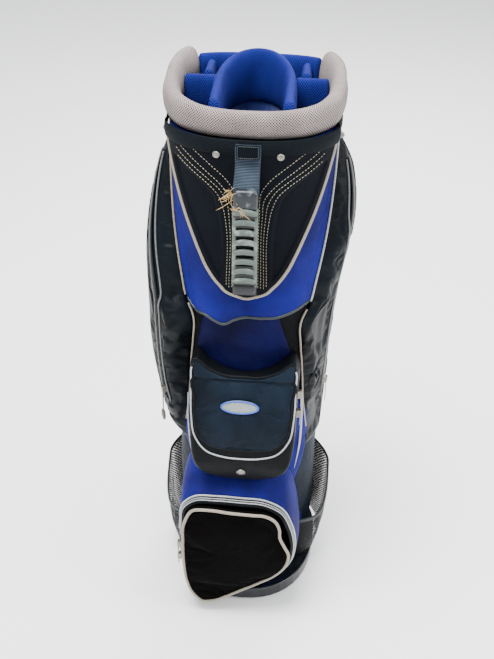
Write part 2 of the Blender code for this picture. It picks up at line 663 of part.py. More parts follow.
def make_garment_pocket(side, word):
    """Long stuffed side pocket; its zip runs up a straight line on the bulge, from z 0.400 to 0.605."""
    depths = GARMENT_DEPTHS[word]
    zip_reach = side * ZIP_REACHES[word]

    def edges(z):
        return side * (seam_reach(z) + SEAM), side * GARMENT_REAR

    def bulge(share, z):
        width = GARMENT_REAR - seam_reach(z) - SEAM
        rise = min(share, 1 - share) * width / GARMENT_FLANK
        eased = math.sin(min(1.0, rise) * math.pi / 2)
        return GARMENT_EDGE + (np.interp(z, GARMENT_HEIGHTS, depths) - GARMENT_EDGE) * eased

    wrapped(f"garment_pocket_{word}", GARMENT_HEIGHTS, edges, STANDOFF, bulge, 16, BLACK_FABRIC)
    low_z, high_z = GARMENT_HEIGHTS[2], GARMENT_HEIGHTS[3]
    low = Vector((*around(zip_reach, depths[2]), low_z))
    high = Vector((*around(zip_reach, depths[3]), high_z))
    track = (high - low).normalized()
    normal = outward(zip_reach)
    normal = (normal - track * normal.dot(track)).normalized()
    place = low + track * ZIP_START + normal * TRACK_STANDOFF
    zip_slider(f"garment_zip_{word}", place, track, normal, GARMENT_PULL)


BOTTLE_START = 0.106    # reach of its two side seams
BOTTLE_END = 0.245
BOTTLE_HEIGHTS = (0.034, 0.080, 0.120, 0.160, 0.200, 0.250)
BOTTLE_LEVEL_HEIGHTS = (0.034, 0.080, 0.160, 0.250)
BOTTLE_LEVELS = (0.014, 0.024, 0.029, 0.026)
BOTTLE_EASE = 0.25      # share of its width over which it rises from each seam
BOTTLE_EDGE = 0.0025
BOTTLE_WALL = 0.0028
BOTTLE_FLOOR = 0.004
RIM_LINE = ((-0.14, 0.110), (-0.02, 0.150), (0.10, 0.245), (0.10, 0.30), (-0.14, 0.30))     # (y, z)


def bottle_pouch(name, side, heights, margin, inner, drop):
    """A bulging panel between two offsets, narrower by a margin and lower by a drop than the whole pouch."""
    def edges(z):
        return side * (BOTTLE_START + margin), side * (BOTTLE_END - margin)

    def depth(share, z):
        eased = math.sin(min(1.0, min(share, 1 - share) / BOTTLE_EASE) * math.pi / 2)
        level = np.interp(z, BOTTLE_LEVEL_HEIGHTS, BOTTLE_LEVELS) - drop
        return inner + BOTTLE_EDGE + (level - BOTTLE_EDGE - inner) * eased

    return wrapped(name, heights, edges, inner, depth, 12, BLACK_FABRIC)


def make_bottle_pocket(side, word):
    """Open-topped elastic mesh pouch low on the side, its rim higher at the back."""
    shell = bottle_pouch(f"bottle_pocket_{word}", side, BOTTLE_HEIGHTS, 0.0, GAP, 0.0)
    low, high = BOTTLE_HEIGHTS[0] + BOTTLE_FLOOR, BOTTLE_HEIGHTS[-1] + BOTTLE_WALL
    room_heights = (low, *BOTTLE_HEIGHTS[1:-1], high)
    cut(shell, bottle_pouch(f"bottle_room_{word}", side, room_heights, BOTTLE_FLOOR, BOTTLE_WALL, BOTTLE_WALL))
    x0, x1 = sorted((side * 0.05, side * 0.20))
    rings = [[(x, y, z) for y, z in RIM_LINE] for x in (x0, x1)]
    cut(shell, lofted(f"rim_cutter_{word}", rings, BLACK_FABRIC))


# ---------------------------------------------------------------- back
PAD_HALF = 0.075
PAD_HEIGHTS = (0.120, 0.140, 0.700, 0.720)
PAD_EDGE = 0.004
PAD_FACE = 0.009
HANDLE_LOW = 0.782
HANDLE_HIGH = 0.812
HANDLE_HALF = 0.062
HANDLE_FOOT = 0.038     # inner end of each foot
HANDLE_BEND = 0.032
HANDLE_CORNER = 0.040
HANDLE_GAP_Y = 0.120
HANDLE_FACE_Y = 0.125
TAB_HALF = 0.013
TAB_THICK = 0.0078
TAB_BELOW = 0.007       # how far the tab reaches below and above its ring's axis
TAB_ABOVE = 0.030
RING_AXIS = 0.0040      # from the tab's back to the ring's axis
BORE_RADIUS = 0.0024
RING_WIRE = 0.0018
RING_BEND = 0.0195
RING_BAR_HALF = 0.017
RING_DROP = 0.006
RING_HEIGHTS = {"upper": 0.660, "lower": 0.300}


def make_back_pad():
    """Padded spine, thinner along its four edges."""
    def face(share, z):
        return PAD_EDGE if z in (PAD_HEIGHTS[0], PAD_HEIGHTS[-1]) or share in (0, 1) else PAD_FACE

    wrapped("back_pad", PAD_HEIGHTS, lambda z: (HALF_GIRTH - PAD_HALF, HALF_GIRTH + PAD_HALF), GAP, face, 12,
            BLACK_FABRIC)


def make_rear_handle():
    """Grab handle: two feet on the body and a flat strap that stands off between them."""
    foot_y = BODY_BACK + GAP
    plan = [(-HANDLE_HALF, foot_y), (-HANDLE_FOOT, foot_y), (-HANDLE_BEND, HANDLE_GAP_Y), (HANDLE_BEND, HANDLE_GAP_Y),
            (HANDLE_FOOT, foot_y), (HANDLE_HALF, foot_y), (HANDLE_CORNER, HANDLE_FACE_Y),
            (-HANDLE_CORNER, HANDLE_FACE_Y)]
    upright("rear_handle", plan, HANDLE_LOW, HANDLE_HIGH, WEBBING)


def make_strap_ring(word, z):
    """A webbing tab with a bore, and the steel ring that turns in it."""
    back_y = BODY_BACK + PAD_FACE + GAP
    axis_y = back_y + RING_AXIS
    tab = block("ring_tab_" + word, (-TAB_HALF, back_y, z - TAB_BELOW), (TAB_HALF, back_y + TAB_THICK, z + TAB_ABOVE),
                WEBBING)
    turns = [math.pi * i / 6 for i in range(12)]
    bore = [(BORE_RADIUS * math.cos(t), BORE_RADIUS * math.sin(t)) for t in turns]
    cut(tab, lofted("bore_cutter_" + word, [[(x, axis_y + y, z + c) for y, c in bore] for x in (-0.02, 0.02)],
                    WEBBING))
    line = [(x, axis_y, z) for x in (-RING_BAR_HALF, -0.006, 0.006, RING_BAR_HALF)]
    for i in range(11):
        turn = math.pi * i / 10
        line.append((RING_BEND * math.cos(turn), axis_y, z - RING_DROP - RING_BEND * math.sin(turn)))
    ring = tube("strap_ring_" + word, line, RING_WIRE, STEEL, closed=True)
    turn_about(ring, (0.0, axis_y, z))


def main():
    clear_scene()
    make_base()
    make_shell()
    make_top()
    make_dividers()
    make_front_panels()
    make_grip()
    make_rivets()
    make_middle_pocket()
    make_ball_pocket()
    for side, word in ((-1, "left"), (1, "right")):
        make_garment_pocket(side, word)
        make_bottle_pocket(side, word)
    make_back_pad()
    make_rear_handle()
    for word, z in RING_HEIGHTS.items():
        make_strap_ring(word, z)


main()
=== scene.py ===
"""The looks of a golf cart bag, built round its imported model: padded mesh top, moulded shield,
stuffed pockets with their piping, zips and stitching, and the camera and light they are seen in."""

import math

import bpy
import numpy as np
from mathutils import Matrix, Vector


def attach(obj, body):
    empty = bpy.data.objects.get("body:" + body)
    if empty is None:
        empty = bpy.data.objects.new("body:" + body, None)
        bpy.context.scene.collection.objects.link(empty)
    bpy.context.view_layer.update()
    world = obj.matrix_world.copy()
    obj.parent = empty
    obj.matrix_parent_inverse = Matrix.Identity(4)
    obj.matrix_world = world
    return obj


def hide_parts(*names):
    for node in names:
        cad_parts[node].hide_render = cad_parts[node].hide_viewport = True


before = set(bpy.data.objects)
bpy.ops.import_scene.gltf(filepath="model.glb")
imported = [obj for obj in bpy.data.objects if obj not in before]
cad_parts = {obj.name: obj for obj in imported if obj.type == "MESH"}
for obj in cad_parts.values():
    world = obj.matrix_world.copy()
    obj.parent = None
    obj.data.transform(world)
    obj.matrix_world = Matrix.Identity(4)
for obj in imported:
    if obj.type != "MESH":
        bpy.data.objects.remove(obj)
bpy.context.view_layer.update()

# ================================================================= camera, floor and light
# A hand-held view from in front and well above, a pale floor that runs up behind the bag,
# and soft light from large panels.
CAMERA_TURN = math.radians(4.0)
CAMERA_PITCH = math.radians(33.93)
CAMERA_ROLL = math.radians(1.0)
CAMERA_AWAY = 1.3289
CAMERA_HEIGHT = 1.3726
CAMERA_SIDE = -0.0065
LENS_MM = 51.84


def aim_camera():
    """Sets the camera on a circle round the bag, looking down and level but for a small roll."""
    away = Vector((math.sin(CAMERA_TURN), -math.cos(CAMERA_TURN), 0))
    right = Vector((math.cos(CAMERA_TURN), math.sin(CAMERA_TURN), 0))
    forward = -away * math.cos(CAMERA_PITCH) + Vector((0, 0, -math.sin(CAMERA_PITCH)))
    up = right.cross(forward)
    rolled = right * math.cos(CAMERA_ROLL) + up * math.sin(CAMERA_ROLL)
    camera = bpy.data.objects.new("camera", bpy.data.cameras.new("camera"))
    turn = Matrix((rolled, rolled.cross(forward), -forward)).transposed().to_4x4()
    camera.matrix_world = Matrix.Translation(away * CAMERA_AWAY + right * CAMERA_SIDE
                                             + Vector((0, 0, CAMERA_HEIGHT))) @ turn
    camera.data.lens = LENS_MM
    bpy.context.scene.collection.objects.link(camera)
    bpy.context.scene.camera = camera


aim_camera()


def add_panel_light(name, place, target, size, watts):
    """A square area light that faces a target."""
    lamp = bpy.data.lights.new(name, "AREA")
    lamp.size = size
    lamp.energy = watts
    holder = bpy.data.objects.new(name, lamp)
    holder.location = place
    holder.rotation_euler = (Vector(target) - Vector(place)).to_track_quat("-Z", "Y").to_euler()
    bpy.context.scene.collection.objects.link(holder)


add_panel_light("key_light", place=(-0.5, -0.5, 3.1), target=(0, 0, 0.4), size=1.2, watts=190)
add_panel_light("side_light", place=(2.2, -0.5, 1.9), target=(0, 0, 0.5), size=1.0, watts=50)
add_panel_light("back_light", place=(0.4, 2.2, 2.3), target=(0, 0, 0.5), size=1.6, watts=90)


def srgb(code):
    """Linear colour of an sRGB hex code."""
    channels = [int(code[i:i + 2], 16) / 255 for i in (1, 3, 5)]
    linear = [c / 12.92 if c <= 0.04045 else ((c + 0.055) / 1.055) ** 2.4 for c in channels]
    return (*linear, 1.0)


def add_node(tree, kind, inputs=None, **settings):
    """Adds a node: settings are its own properties, inputs are sockets by name or number, linked or given a
    value.
    """
    made = tree.nodes.new(kind)
    for key, value in settings.items():
        setattr(made, key, value)
    for key, value in (inputs or {}).items():
        if isinstance(value, bpy.types.NodeSocket):
            tree.links.new(value, made.inputs[key])
        else:
            made.inputs[key].default_value = value
    return made


SKY_STRENGTH = 1.5


def light_sky():
    """An even, slightly cool white all round."""
    world = bpy.data.worlds.new("studio")
    world.use_nodes = True
    world.node_tree.nodes["Background"].inputs["Color"].default_value = srgb("#F4F6FA")
    world.node_tree.nodes["Background"].inputs["Strength"].default_value = SKY_STRENGTH
    bpy.context.scene.world = world


light_sky()


FLOOR_NEAR, FLOOR_FAR = -14.0, 9.0      # y of its front edge and of the start of its bend
FLOOR_BEND = 3.0
FLOOR_HALF_WIDTH, WALL_TOP = 16.0, 16.0


def lay_floor():
    """A floor that turns up behind the bag in a quarter circle: a profile in y and z, carried along x."""
    turn = np.linspace(0, math.pi / 2, 24)
    profile_y = np.concatenate([[FLOOR_NEAR], FLOOR_FAR + FLOOR_BEND * np.sin(turn),
                                [FLOOR_FAR + FLOOR_BEND]])
    profile_z = np.concatenate([[0.0], FLOOR_BEND - FLOOR_BEND * np.cos(turn), [WALL_TOP]])
    across = np.linspace(-FLOOR_HALF_WIDTH, FLOOR_HALF_WIDTH, 2)
    x, y = np.meshgrid(across, profile_y)
    z = np.repeat(profile_z[:, None], 2, axis=1)
    points = np.stack([x, y, z], axis=-1).reshape(-1, 3)
    row = np.arange(len(profile_y) - 1) * 2
    faces = np.stack([row, row + 1, row + 3, row + 2], axis=1)
    mesh = bpy.data.meshes.new("floor")
    mesh.from_pydata(points.tolist(), [], faces.tolist())
    mesh.shade_smooth()
    paint = bpy.data.materials.new("pale_floor_paint")
    paint.use_nodes = True
    shader = paint.node_tree.nodes["Principled BSDF"]
    shader.inputs["Base Color"].default_value = srgb("#F7F7F6")
    shader.inputs["Roughness"].default_value = 0.7
    mesh.materials.append(paint)
    floor = bpy.data.objects.new("floor", mesh)
    bpy.context.scene.collection.objects.link(floor)


lay_floor()

# ================================================================= padded collar
# A fat roll of light grey spacer mesh over foam, sewn round the front and both sides of the
# mouth and closed at its two back ends. The body's plan is worked out here, as all else hangs on it.
HALF_WIDTH, FRONT_DEPTH, BACK_DEPTH = 0.118, 0.113, 0.100
FRONT_POWER, BACK_POWER = 2.5, 3.6


def half_plan():
    """Right half of the body's plan, front centre to back centre: two superellipse quarters, as length
    along, points and unit normals.
    """
    turn = np.linspace(0, math.pi / 2, 400)
    front = np.stack([HALF_WIDTH * np.sin(turn) ** (2 / FRONT_POWER),
                      -FRONT_DEPTH * np.cos(turn) ** (2 / FRONT_POWER)], axis=1)
    back = np.stack([HALF_WIDTH * np.cos(turn) ** (2 / BACK_POWER),
                     BACK_DEPTH * np.sin(turn) ** (2 / BACK_POWER)], axis=1)
    points = np.concatenate([front, back[1:]])
    x, y = points.T
    power = np.where(y < 0, FRONT_POWER, BACK_POWER)
    depth = np.where(y < 0, FRONT_DEPTH, BACK_DEPTH)
    normals = np.stack([np.abs(x) ** (power - 1) / HALF_WIDTH ** power,
                        np.sign(y) * np.abs(y) ** (power - 1) / depth ** power], axis=1)
    normals /= np.linalg.norm(normals, axis=1)[:, None]
    along = np.concatenate([[0], np.cumsum(np.linalg.norm(np.diff(points, axis=0), axis=1))])
    return along, points, normals


plan_along, plan_points, plan_normals = half_plan()
HALF_GIRTH = float(plan_along[-1])


def on_body(reach, z, offset):
    """Points this far round the body from its front centre (right positive), this high, this far off its
    plan.
    """
    reach, z, offset = np.broadcast_arrays(*(np.asarray(a, float) for a in (reach, z, offset)))
    turned = (reach + HALF_GIRTH) % (2 * HALF_GIRTH) - HALF_GIRTH
    side = np.where(turned < 0, -1.0, 1.0)
    x, y = (np.interp(np.abs(turned), plan_along, plan_points[:, k]) for k in (0, 1))
    nx, ny = (np.interp(np.abs(turned), plan_along, plan_normals[:, k]) for k in (0, 1))
    length = np.hypot(nx, ny)
    return np.stack([side * (x + offset * nx / length), y + offset * ny / length, z], axis=-1)


def grid_faces(index):
    """Quads between neighbours of a grid of point numbers; a repeated first row or column closes it."""
    a, b, c, d = index[:-1, :-1], index[:-1, 1:], index[1:, 1:], index[1:, :-1]
    return np.stack([a, b, c, d], axis=-1).reshape(-1, 4)


def add_mesh(name, points, faces, spots, finish):
    """A smooth mesh object from points and quads; spots are each face corner's u and v, in metres of cloth.
    """
    mesh = bpy.data.meshes.new(name)
    mesh.from_pydata(points.tolist(), [], faces.tolist())
    mesh.uv_layers.new(name="cloth").data.foreach_set("uv", spots.reshape(-1).astype(np.float32))
    mesh.materials.append(finish)
    mesh.shade_smooth()
    piece = bpy.data.objects.new(name, mesh)
    bpy.context.scene.collection.objects.link(piece)
    return piece


def cloth_lengths(grid):
    """For each point of a grid, how far along its row and its column it lies, on average over the grid."""
    across = np.linalg.norm(np.diff(grid, axis=1), axis=2).mean(axis=0)
    along = np.linalg.norm(np.diff(grid, axis=0), axis=2).mean(axis=1)
    u = np.concatenate([[0], np.cumsum(across)])
    v = np.concatenate([[0], np.cumsum(along)])
    return np.stack(np.meshgrid(u, v), axis=-1)


def closed_tube(name, rings, finish, loop=False, flat=False):
    """A skin over rings of points (rings, points in a ring, 3). Open ends are closed by a fan round their
    centre; a loop joins its last ring to its first. Flat lays the cloth's threads level and upright.
    """
    count, around = rings.shape[:2]
    points = rings.reshape(-1, 3)
    index = np.arange(count * around).reshape(count, around)
    index = np.concatenate([index, index[:, :1]], axis=1)
    if loop:
        index = np.concatenate([index, index[:1]], axis=0)
    faces = grid_faces(index)
    unrolled = np.concatenate([rings, rings[:, :1]], axis=1)
    if loop:
        unrolled = np.concatenate([unrolled, unrolled[:1]], axis=0)
    spots = unrolled[..., [0, 2]] if flat else cloth_lengths(unrolled)
    corners = np.stack([spots[:-1, :-1], spots[:-1, 1:], spots[1:, 1:], spots[1:, :-1]], axis=2)
    corners = corners.reshape(-1, 4, 2)
    if not loop:
        ends = np.stack([rings[0].mean(axis=0), rings[-1].mean(axis=0)])
        points = np.concatenate([points, ends])
        fans, fan_spots = [], []
        for k, (row, spot) in enumerate(((index[0], spots[0]), (index[-1], spots[-1]))):
            pole = np.full(around // 2, count * around + k)
            first, middle, last = row[0:-2:2], row[1:-1:2], row[2::2]
            fans.append(np.stack([pole, first, middle, last][:: 1 - 2 * (1 - k)], axis=1))
            middle_spot = spot[1:-1:2]
            pole_spot = np.broadcast_to(ends[k][[0, 2]], middle_spot.shape) if flat else middle_spot
            fan_spots.append(np.stack([pole_spot, spot[0:-2:2], middle_spot, spot[2::2]], axis=1))
        faces = np.concatenate([faces, *fans])
        corners = np.concatenate([corners, *fan_spots])
    return add_mesh(name, points, faces, corners, finish)


def turn_outwards(piece):
    """Makes a closed mesh's faces point out: the volume its faces enclose, counted with sign, must be
    positive.
    """
    mesh = piece.data
    mesh.calc_loop_triangles()
    corners = np.empty(len(mesh.loop_triangles) * 3, np.int32)
    mesh.loop_triangles.foreach_get("vertices", corners)
    places = np.empty(len(mesh.vertices) * 3)
    mesh.vertices.foreach_get("co", places)
    a, b, c = places.reshape(-1, 3)[corners.reshape(-1, 3)].transpose(1, 0, 2)
    if np.einsum("ij,ij->i", a, np.cross(b, c)).sum() < 0:
        mesh.flip_normals()
    return piece


def superellipse(count, half_u, half_v, power):
    """A closed outline: cosine and sine raised to 2 over the power, with their signs kept."""
    turn = np.linspace(0, 2 * math.pi, count, endpoint=False)
    c, s = np.cos(turn), np.sin(turn)
    return np.sign(c) * np.abs(c) ** (2 / power) * half_u, np.sign(s) * np.abs(s) ** (2 / power) * half_v


def rounded_ends(share, length, radius):
    """Share of full size along a bar: a quarter circle at each end, so that the bar closes roundly."""
    inside = np.minimum(share, 1 - share) * length
    return np.sqrt(np.clip(1 - (1 - np.clip(inside / radius, 0, 1)) ** 2, 0.02, 1))


def new_finish(name, roughness, metallic=0.0, sheen=0.0, coat=0.0, specular=0.5):
    """A material with its constant settings on the shader; returns it, its node tree and its shader."""
    made = bpy.data.materials.new(name)
    made.use_nodes = True
    shader = made.node_tree.nodes["Principled BSDF"]
    shader.inputs["Roughness"].default_value = roughness
    shader.inputs["Metallic"].default_value = metallic
    shader.inputs["Sheen Weight"].default_value = sheen
    shader.inputs["Sheen Roughness"].default_value = 0.5
    shader.inputs["Coat Weight"].default_value = coat
    shader.inputs["Specular IOR Level"].default_value = specular
    return made, made.node_tree, shader


def repeat_wave(tree, coordinate, pitch):
    """Cosine that repeats once in each pitch of a coordinate."""
    turned = add_node(tree, "ShaderNodeMath", {0: coordinate, 1: 2 * math.pi / pitch}, operation="MULTIPLY")
    return add_node(tree, "ShaderNodeMath", {0: turned.outputs[0]}, operation="COSINE").outputs[0]


def spacer_mesh(name, yarn, shade, hole, across=0.0048, along=0.0036):
    """Knitted spacer mesh: a quincunx of round holes, 4.8 by 3.6 mm, in a soft raised yarn. Painted shade:
    the yarn is mixed in noisy patches with a darker, shaded copy of itself, and the holes are painted dark
    for the shade in them.
    """
    made, tree, shader = new_finish(name, roughness=0.85, specular=0.12)
    cloth = add_node(tree, "ShaderNodeUVMap", uv_map="cloth")
    axes = add_node(tree, "ShaderNodeSeparateXYZ", {0: cloth.outputs["UV"]})
    waves = [repeat_wave(tree, axes.outputs[0], across), repeat_wave(tree, axes.outputs[1], along)]
    holes = add_node(tree, "ShaderNodeMath", {0: waves[0], 1: waves[1]}, operation="MULTIPLY").outputs[0]
    spot = add_node(tree, "ShaderNodeMapRange", {"Value": holes, "From Min": -0.05, "From Max": 0.55})
    place = add_node(tree, "ShaderNodeTexCoord")
    shade_noise = add_node(tree, "ShaderNodeTexNoise", {"Vector": place.outputs["Object"], "Scale": 22.0,
                                                 "Detail": 5.0})
    # painted shade: noisy patches of the yarn take its darker, shaded colour
    patchy = add_node(tree, "ShaderNodeMix", {0: shade_noise.outputs[0], 6: srgb(yarn), 7: srgb(shade)},
                    data_type="RGBA")
    # painted shade: the holes are coloured dark for the shade that falls in them
    colour = add_node(tree, "ShaderNodeMix", {0: spot.outputs[0], 6: patchy.outputs[2], 7: srgb(hole)},
                      data_type="RGBA")
    bump = add_node(tree, "ShaderNodeBump", {"Height": spot.outputs[0], "Strength": 0.9,
                                             "Distance": 0.0012},
                    invert=True)
    tree.links.new(colour.outputs[2], shader.inputs["Base Color"])
    tree.links.new(bump.outputs[0], shader.inputs["Normal"])
    return made


def show(piece, body, replaced=()):
    """Hands a finished piece over: the body it moves with and the solids it stands for.
    """
    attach(piece, body)
    if replaced:
        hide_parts(*replaced)
    return piece


COLLAR_END = 0.2835             # reach of its two back ends
COLLAR_BOTTOM = 0.8675
COLLAR_HALF_THICK = 0.0128
COLLAR_END_RADIUS = 0.016
COLLAR_LEAN = 0.0022
RIM_FRONT, RIM_SLOPE = 0.905, 0.125     # height of the mouth's rim in front, and its rise with depth
# second colour: the yarn's painted shade; third: the painted shade in the holes
grey_mesh = spacer_mesh("grey_spacer_mesh", "#ADA39E", "#7C7170", "#1B1517")


def make_collar():
    """Superellipse section, 26 mm thick, from the cuff to the sloping rim, carried round the body; it leans
    out a little at the top and swells unevenly, as foam does.
    """
    share = np.linspace(0, 1, 260)
    reach = (2 * share - 1) * COLLAR_END
    u, v = superellipse(30, 1.0, 1.0, 2.5)
    size = rounded_ends(share, 2 * COLLAR_END, COLLAR_END_RADIUS)
    y = on_body(reach, 0, 0)[:, 1]
    low, high = COLLAR_BOTTOM, RIM_FRONT + RIM_SLOPE * (y + FRONT_DEPTH) + 0.002
    lumps = 0.0007 * np.sin(reach * 47 + 1) + 0.0005 * np.sin(reach * 113)
    half_height = (high - low) / 2
    z = low + half_height[:, None] * (1 + v[None, :] * size[:, None])
    lean = COLLAR_LEAN * v[None, :]
    offset = 0.0008 + lean + u[None, :] * ((COLLAR_HALF_THICK + lumps) * size)[:, None]
    return closed_tube("collar_roll", on_body(reach[:, None], z, offset), grey_mesh)


show(turn_outwards(make_collar()), "bag", ["collar_pad"])

# ================================================================= dividers
# Lining walls topped with fat rolls of blue spacer mesh: an arch round the central well, a cross
# rail and a rear rail on each side, and a straight rail along the back.
# second colour: the yarn's painted shade; third: the painted shade in the holes
blue_mesh = spacer_mesh("blue_spacer_mesh", "#1B2A90", "#101A62", "#02030F")


def padded_rail(name, path, half_thick, bottom, top, end_radius):
    """A bar with a round top along a level path (x, y): the section is a superellipse across and up,
    its height set by bottom and top at each point of the path."""
    path = np.asarray(path, float)
    run = np.gradient(path, axis=0)
    run /= np.linalg.norm(run, axis=1)[:, None]
    side = np.stack([run[:, 1], -run[:, 0]], axis=1)
    steps = np.linalg.norm(np.diff(path, axis=0), axis=1)
    length = steps.sum()
    share = np.concatenate([[0], np.cumsum(steps)]) / length
    size = rounded_ends(share, length, end_radius)
    u, v = superellipse(24, 1.0, 1.0, 2.6)
    high = np.broadcast_to(top, len(path))
    half_height = (high - bottom) / 2
    z = bottom + half_height[:, None] * (1 + v[None, :] * size[:, None])
    wide = half_thick * (1 + 0.05 * np.sin(share * length * 150))[:, None] * size[:, None] * u[None, :]
    xy = path[:, None, :] + wide[..., None] * side[:, None, :]
    return turn_outwards(closed_tube(name, np.concatenate([xy, z[..., None]], axis=2), blue_mesh))


WELL_HALF_WIDTH = 0.0520
WELL_FRONT, WELL_SHOULDER, WELL_APEX = -0.091, -0.020, 0.078        # y where its sides start, bend and meet


def arch_path():
    """Plan of the central well: straight sides, then half an ellipse towards the back, evenly stepped."""
    turn = np.linspace(0, math.pi, 200)
    arc = np.stack([WELL_HALF_WIDTH * np.cos(turn), WELL_SHOULDER + (WELL_APEX - WELL_SHOULDER)
                    * np.sin(turn)], axis=1)
    line = np.concatenate([[[WELL_HALF_WIDTH, WELL_FRONT]], arc, [[-WELL_HALF_WIDTH, WELL_FRONT]]])
    along = np.concatenate([[0], np.cumsum(np.linalg.norm(np.diff(line, axis=0), axis=1))])
    even = np.linspace(0, along[-1], 170)
    return np.stack([np.interp(even, along, line[:, k]) for k in (0, 1)], axis=1)


def straight_path(start, end):
    """Thirty even points on a straight line in plan."""
    return np.asarray(start) + np.linspace(0, 1, 30)[:, None] * (np.asarray(end) - np.asarray(start))


well_line = arch_path()
well_top = RIM_FRONT + RIM_SLOPE * (well_line[:, 1] + FRONT_DEPTH) + 0.003
well_roll = padded_rail("central_well_roll", well_line, half_thick=0.0090, bottom=0.850, top=well_top,
                        end_radius=0.006)
show(well_roll, "bag", ["central_well_rail"])
rear_reach = np.linspace(COLLAR_END - 0.004, 2 * HALF_GIRTH - COLLAR_END + 0.004, 110)
rear_line = on_body(rear_reach, 0, -0.0035)[:, :2]
rear_roll = padded_rail("rear_rail_roll", rear_line, half_thick=0.0092, bottom=0.862, top=0.9185,
                        end_radius=0.006)
show(rear_roll, "bag", ["rear_rail_pad"])
CROSS_Y, CROSS_INNER, CROSS_OUTER = 0.022, 0.0555, 0.107
REAR_X, REAR_FRONT, REAR_BACK = 0.072, 0.028, 0.083
for side, word in ((-1, "left"), (1, "right")):
    cross_line = straight_path((side * CROSS_INNER, CROSS_Y), (side * CROSS_OUTER, CROSS_Y))
    cross = padded_rail(f"cross_roll_{word}", cross_line, half_thick=0.0088, bottom=0.855, top=0.908,
                        end_radius=0.004)
    show(cross, "bag", [f"cross_rail_{word}"])
    back_line = straight_path((side * REAR_X, REAR_FRONT), (side * REAR_X, REAR_BACK))
    rear = padded_rail(f"rear_roll_{word}", back_line, half_thick=0.0085, bottom=0.855, top=0.912,
                       end_radius=0.004)
    show(rear, "bag", [f"rear_rail_{word}"])


def lining_fabric(name, light, dark):
    """Thin brushed nylon lining over a plastic sheet: soft, dark, with faint vertical creases 20 mm apart,
    whose hollows are painted darker as shade.
    """
    made, tree, shader = new_finish(name, roughness=0.8, sheen=0.3, specular=0.25)
    place = add_node(tree, "ShaderNodeTexCoord")
    stretch = add_node(tree, "ShaderNodeMapping", {0: place.outputs["Object"], 3: (50.0, 50.0, 6.0)})
    creases = add_node(tree, "ShaderNodeTexNoise", {"Vector": stretch.outputs[0], "Scale": 1.0,
                                                    "Detail": 3.0})
    # painted shade: the colour follows the crease noise, darker where the bump sinks
    colour = add_node(tree, "ShaderNodeMix", {0: creases.outputs[0], 6: srgb(dark), 7: srgb(light)},
                      data_type="RGBA")
    bump = add_node(tree, "ShaderNodeBump", {"Height": creases.outputs[0], "Strength": 0.35,
                                             "Distance": 0.002})
    tree.links.new(colour.outputs[2], shader.inputs["Base Color"])
    tree.links.new(bump.outputs[0], shader.inputs["Normal"])
    return made


def paint_node(node, finish):
    """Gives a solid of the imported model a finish."""
    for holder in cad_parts[node].material_slots:
        holder.material = finish


navy_lining = lining_fabric("brushed_navy_lining", "#1B2F7E", "#0C1645")
for wall in ("central_well_wall", "cross_wall_left", "cross_wall_right", "rear_wall_left",
             "rear_wall_right"):
    paint_node(wall, navy_lining)

# ================================================================= body fabric and yoke
# Coated polyester pack cloth, sewn over the body wall: blue in front from the collar to the waist,
# where the yoke's free lower edge stands off in soft waves and is bound in dark teal.
SEAM_HEIGHTS = (0.340, 0.407, 0.456, 0.484, 0.520, 0.570, 0.594, 0.630, 0.690, 0.820, 0.875)
SEAM_REACHES = (0.106, 0.0950, 0.0910, 0.0885, 0.0845, 0.0850, 0.0985, 0.1090, 0.1280, 0.167, 0.180)


def flow(x, knots, values):
    """Smooth line through knots: cubic Hermite pieces whose slopes come from the neighbouring knots."""
    knots, values = np.asarray(knots, float), np.asarray(values, float)
    slopes = np.gradient(values, knots, axis=0)
    x = np.clip(x, knots[0], knots[-1])
    k = np.clip(np.searchsorted(knots, x, side="right") - 1, 0, len(knots) - 2)
    step = knots[k + 1] - knots[k]
    t = (x - knots[k]) / step
    if values.ndim > 1:
        t, step = t[..., None], step[..., None]
    return ((2 * t ** 3 - 3 * t ** 2 + 1) * values[k] + (t ** 3 - 2 * t ** 2 + t) * step * slopes[k]
            + (3 * t ** 2 - 2 * t ** 3) * values[k + 1] + (t ** 3 - t ** 2) * step * slopes[k + 1])


def line_through(points, count, loop=False):
    """A smooth line through points, evenly parted by the length of its chords; a loop leaves out its end.
    """
    points = np.asarray(points, float)
    if loop:
        points = np.concatenate([points[-3:], points, points[:4]])
    along = np.concatenate([[0], np.cumsum(np.linalg.norm(np.diff(points, axis=0), axis=1))])
    if loop:
        return flow(np.linspace(along[3], along[-4], count, endpoint=False), along, points)
    return flow(np.linspace(0, along[-1], count), along, points)


def ease(x):
    """Smooth step: 0 below 0, 1 above 1, three squares less two cubes between."""
    x = np.clip(x, 0, 1)
    return x * x * (3 - 2 * x)


def closed_panel(name, front, back, finish):
    """A thin or stuffed closed skin: a front grid and a back grid that share their border points."""
    rows, columns = front.shape[:2]
    index = np.arange(rows * columns).reshape(rows, columns)
    behind = index.copy()
    inner = np.arange((rows - 2) * (columns - 2)).reshape(rows - 2, columns - 2)
    behind[1:-1, 1:-1] = rows * columns + inner
    points = np.concatenate([front.reshape(-1, 3), back[1:-1, 1:-1].reshape(-1, 3)])
    faces = np.concatenate([grid_faces(index), grid_faces(behind)[:, ::-1]])
    spots = cloth_lengths(front)
    corners = np.stack([spots[:-1, :-1], spots[:-1, 1:], spots[1:, 1:], spots[1:, :-1]], axis=2)
    corners = corners.reshape(-1, 4, 2)
    return turn_outwards(add_mesh(name, points, faces, np.concatenate([corners, corners[:, ::-1]]), finish))


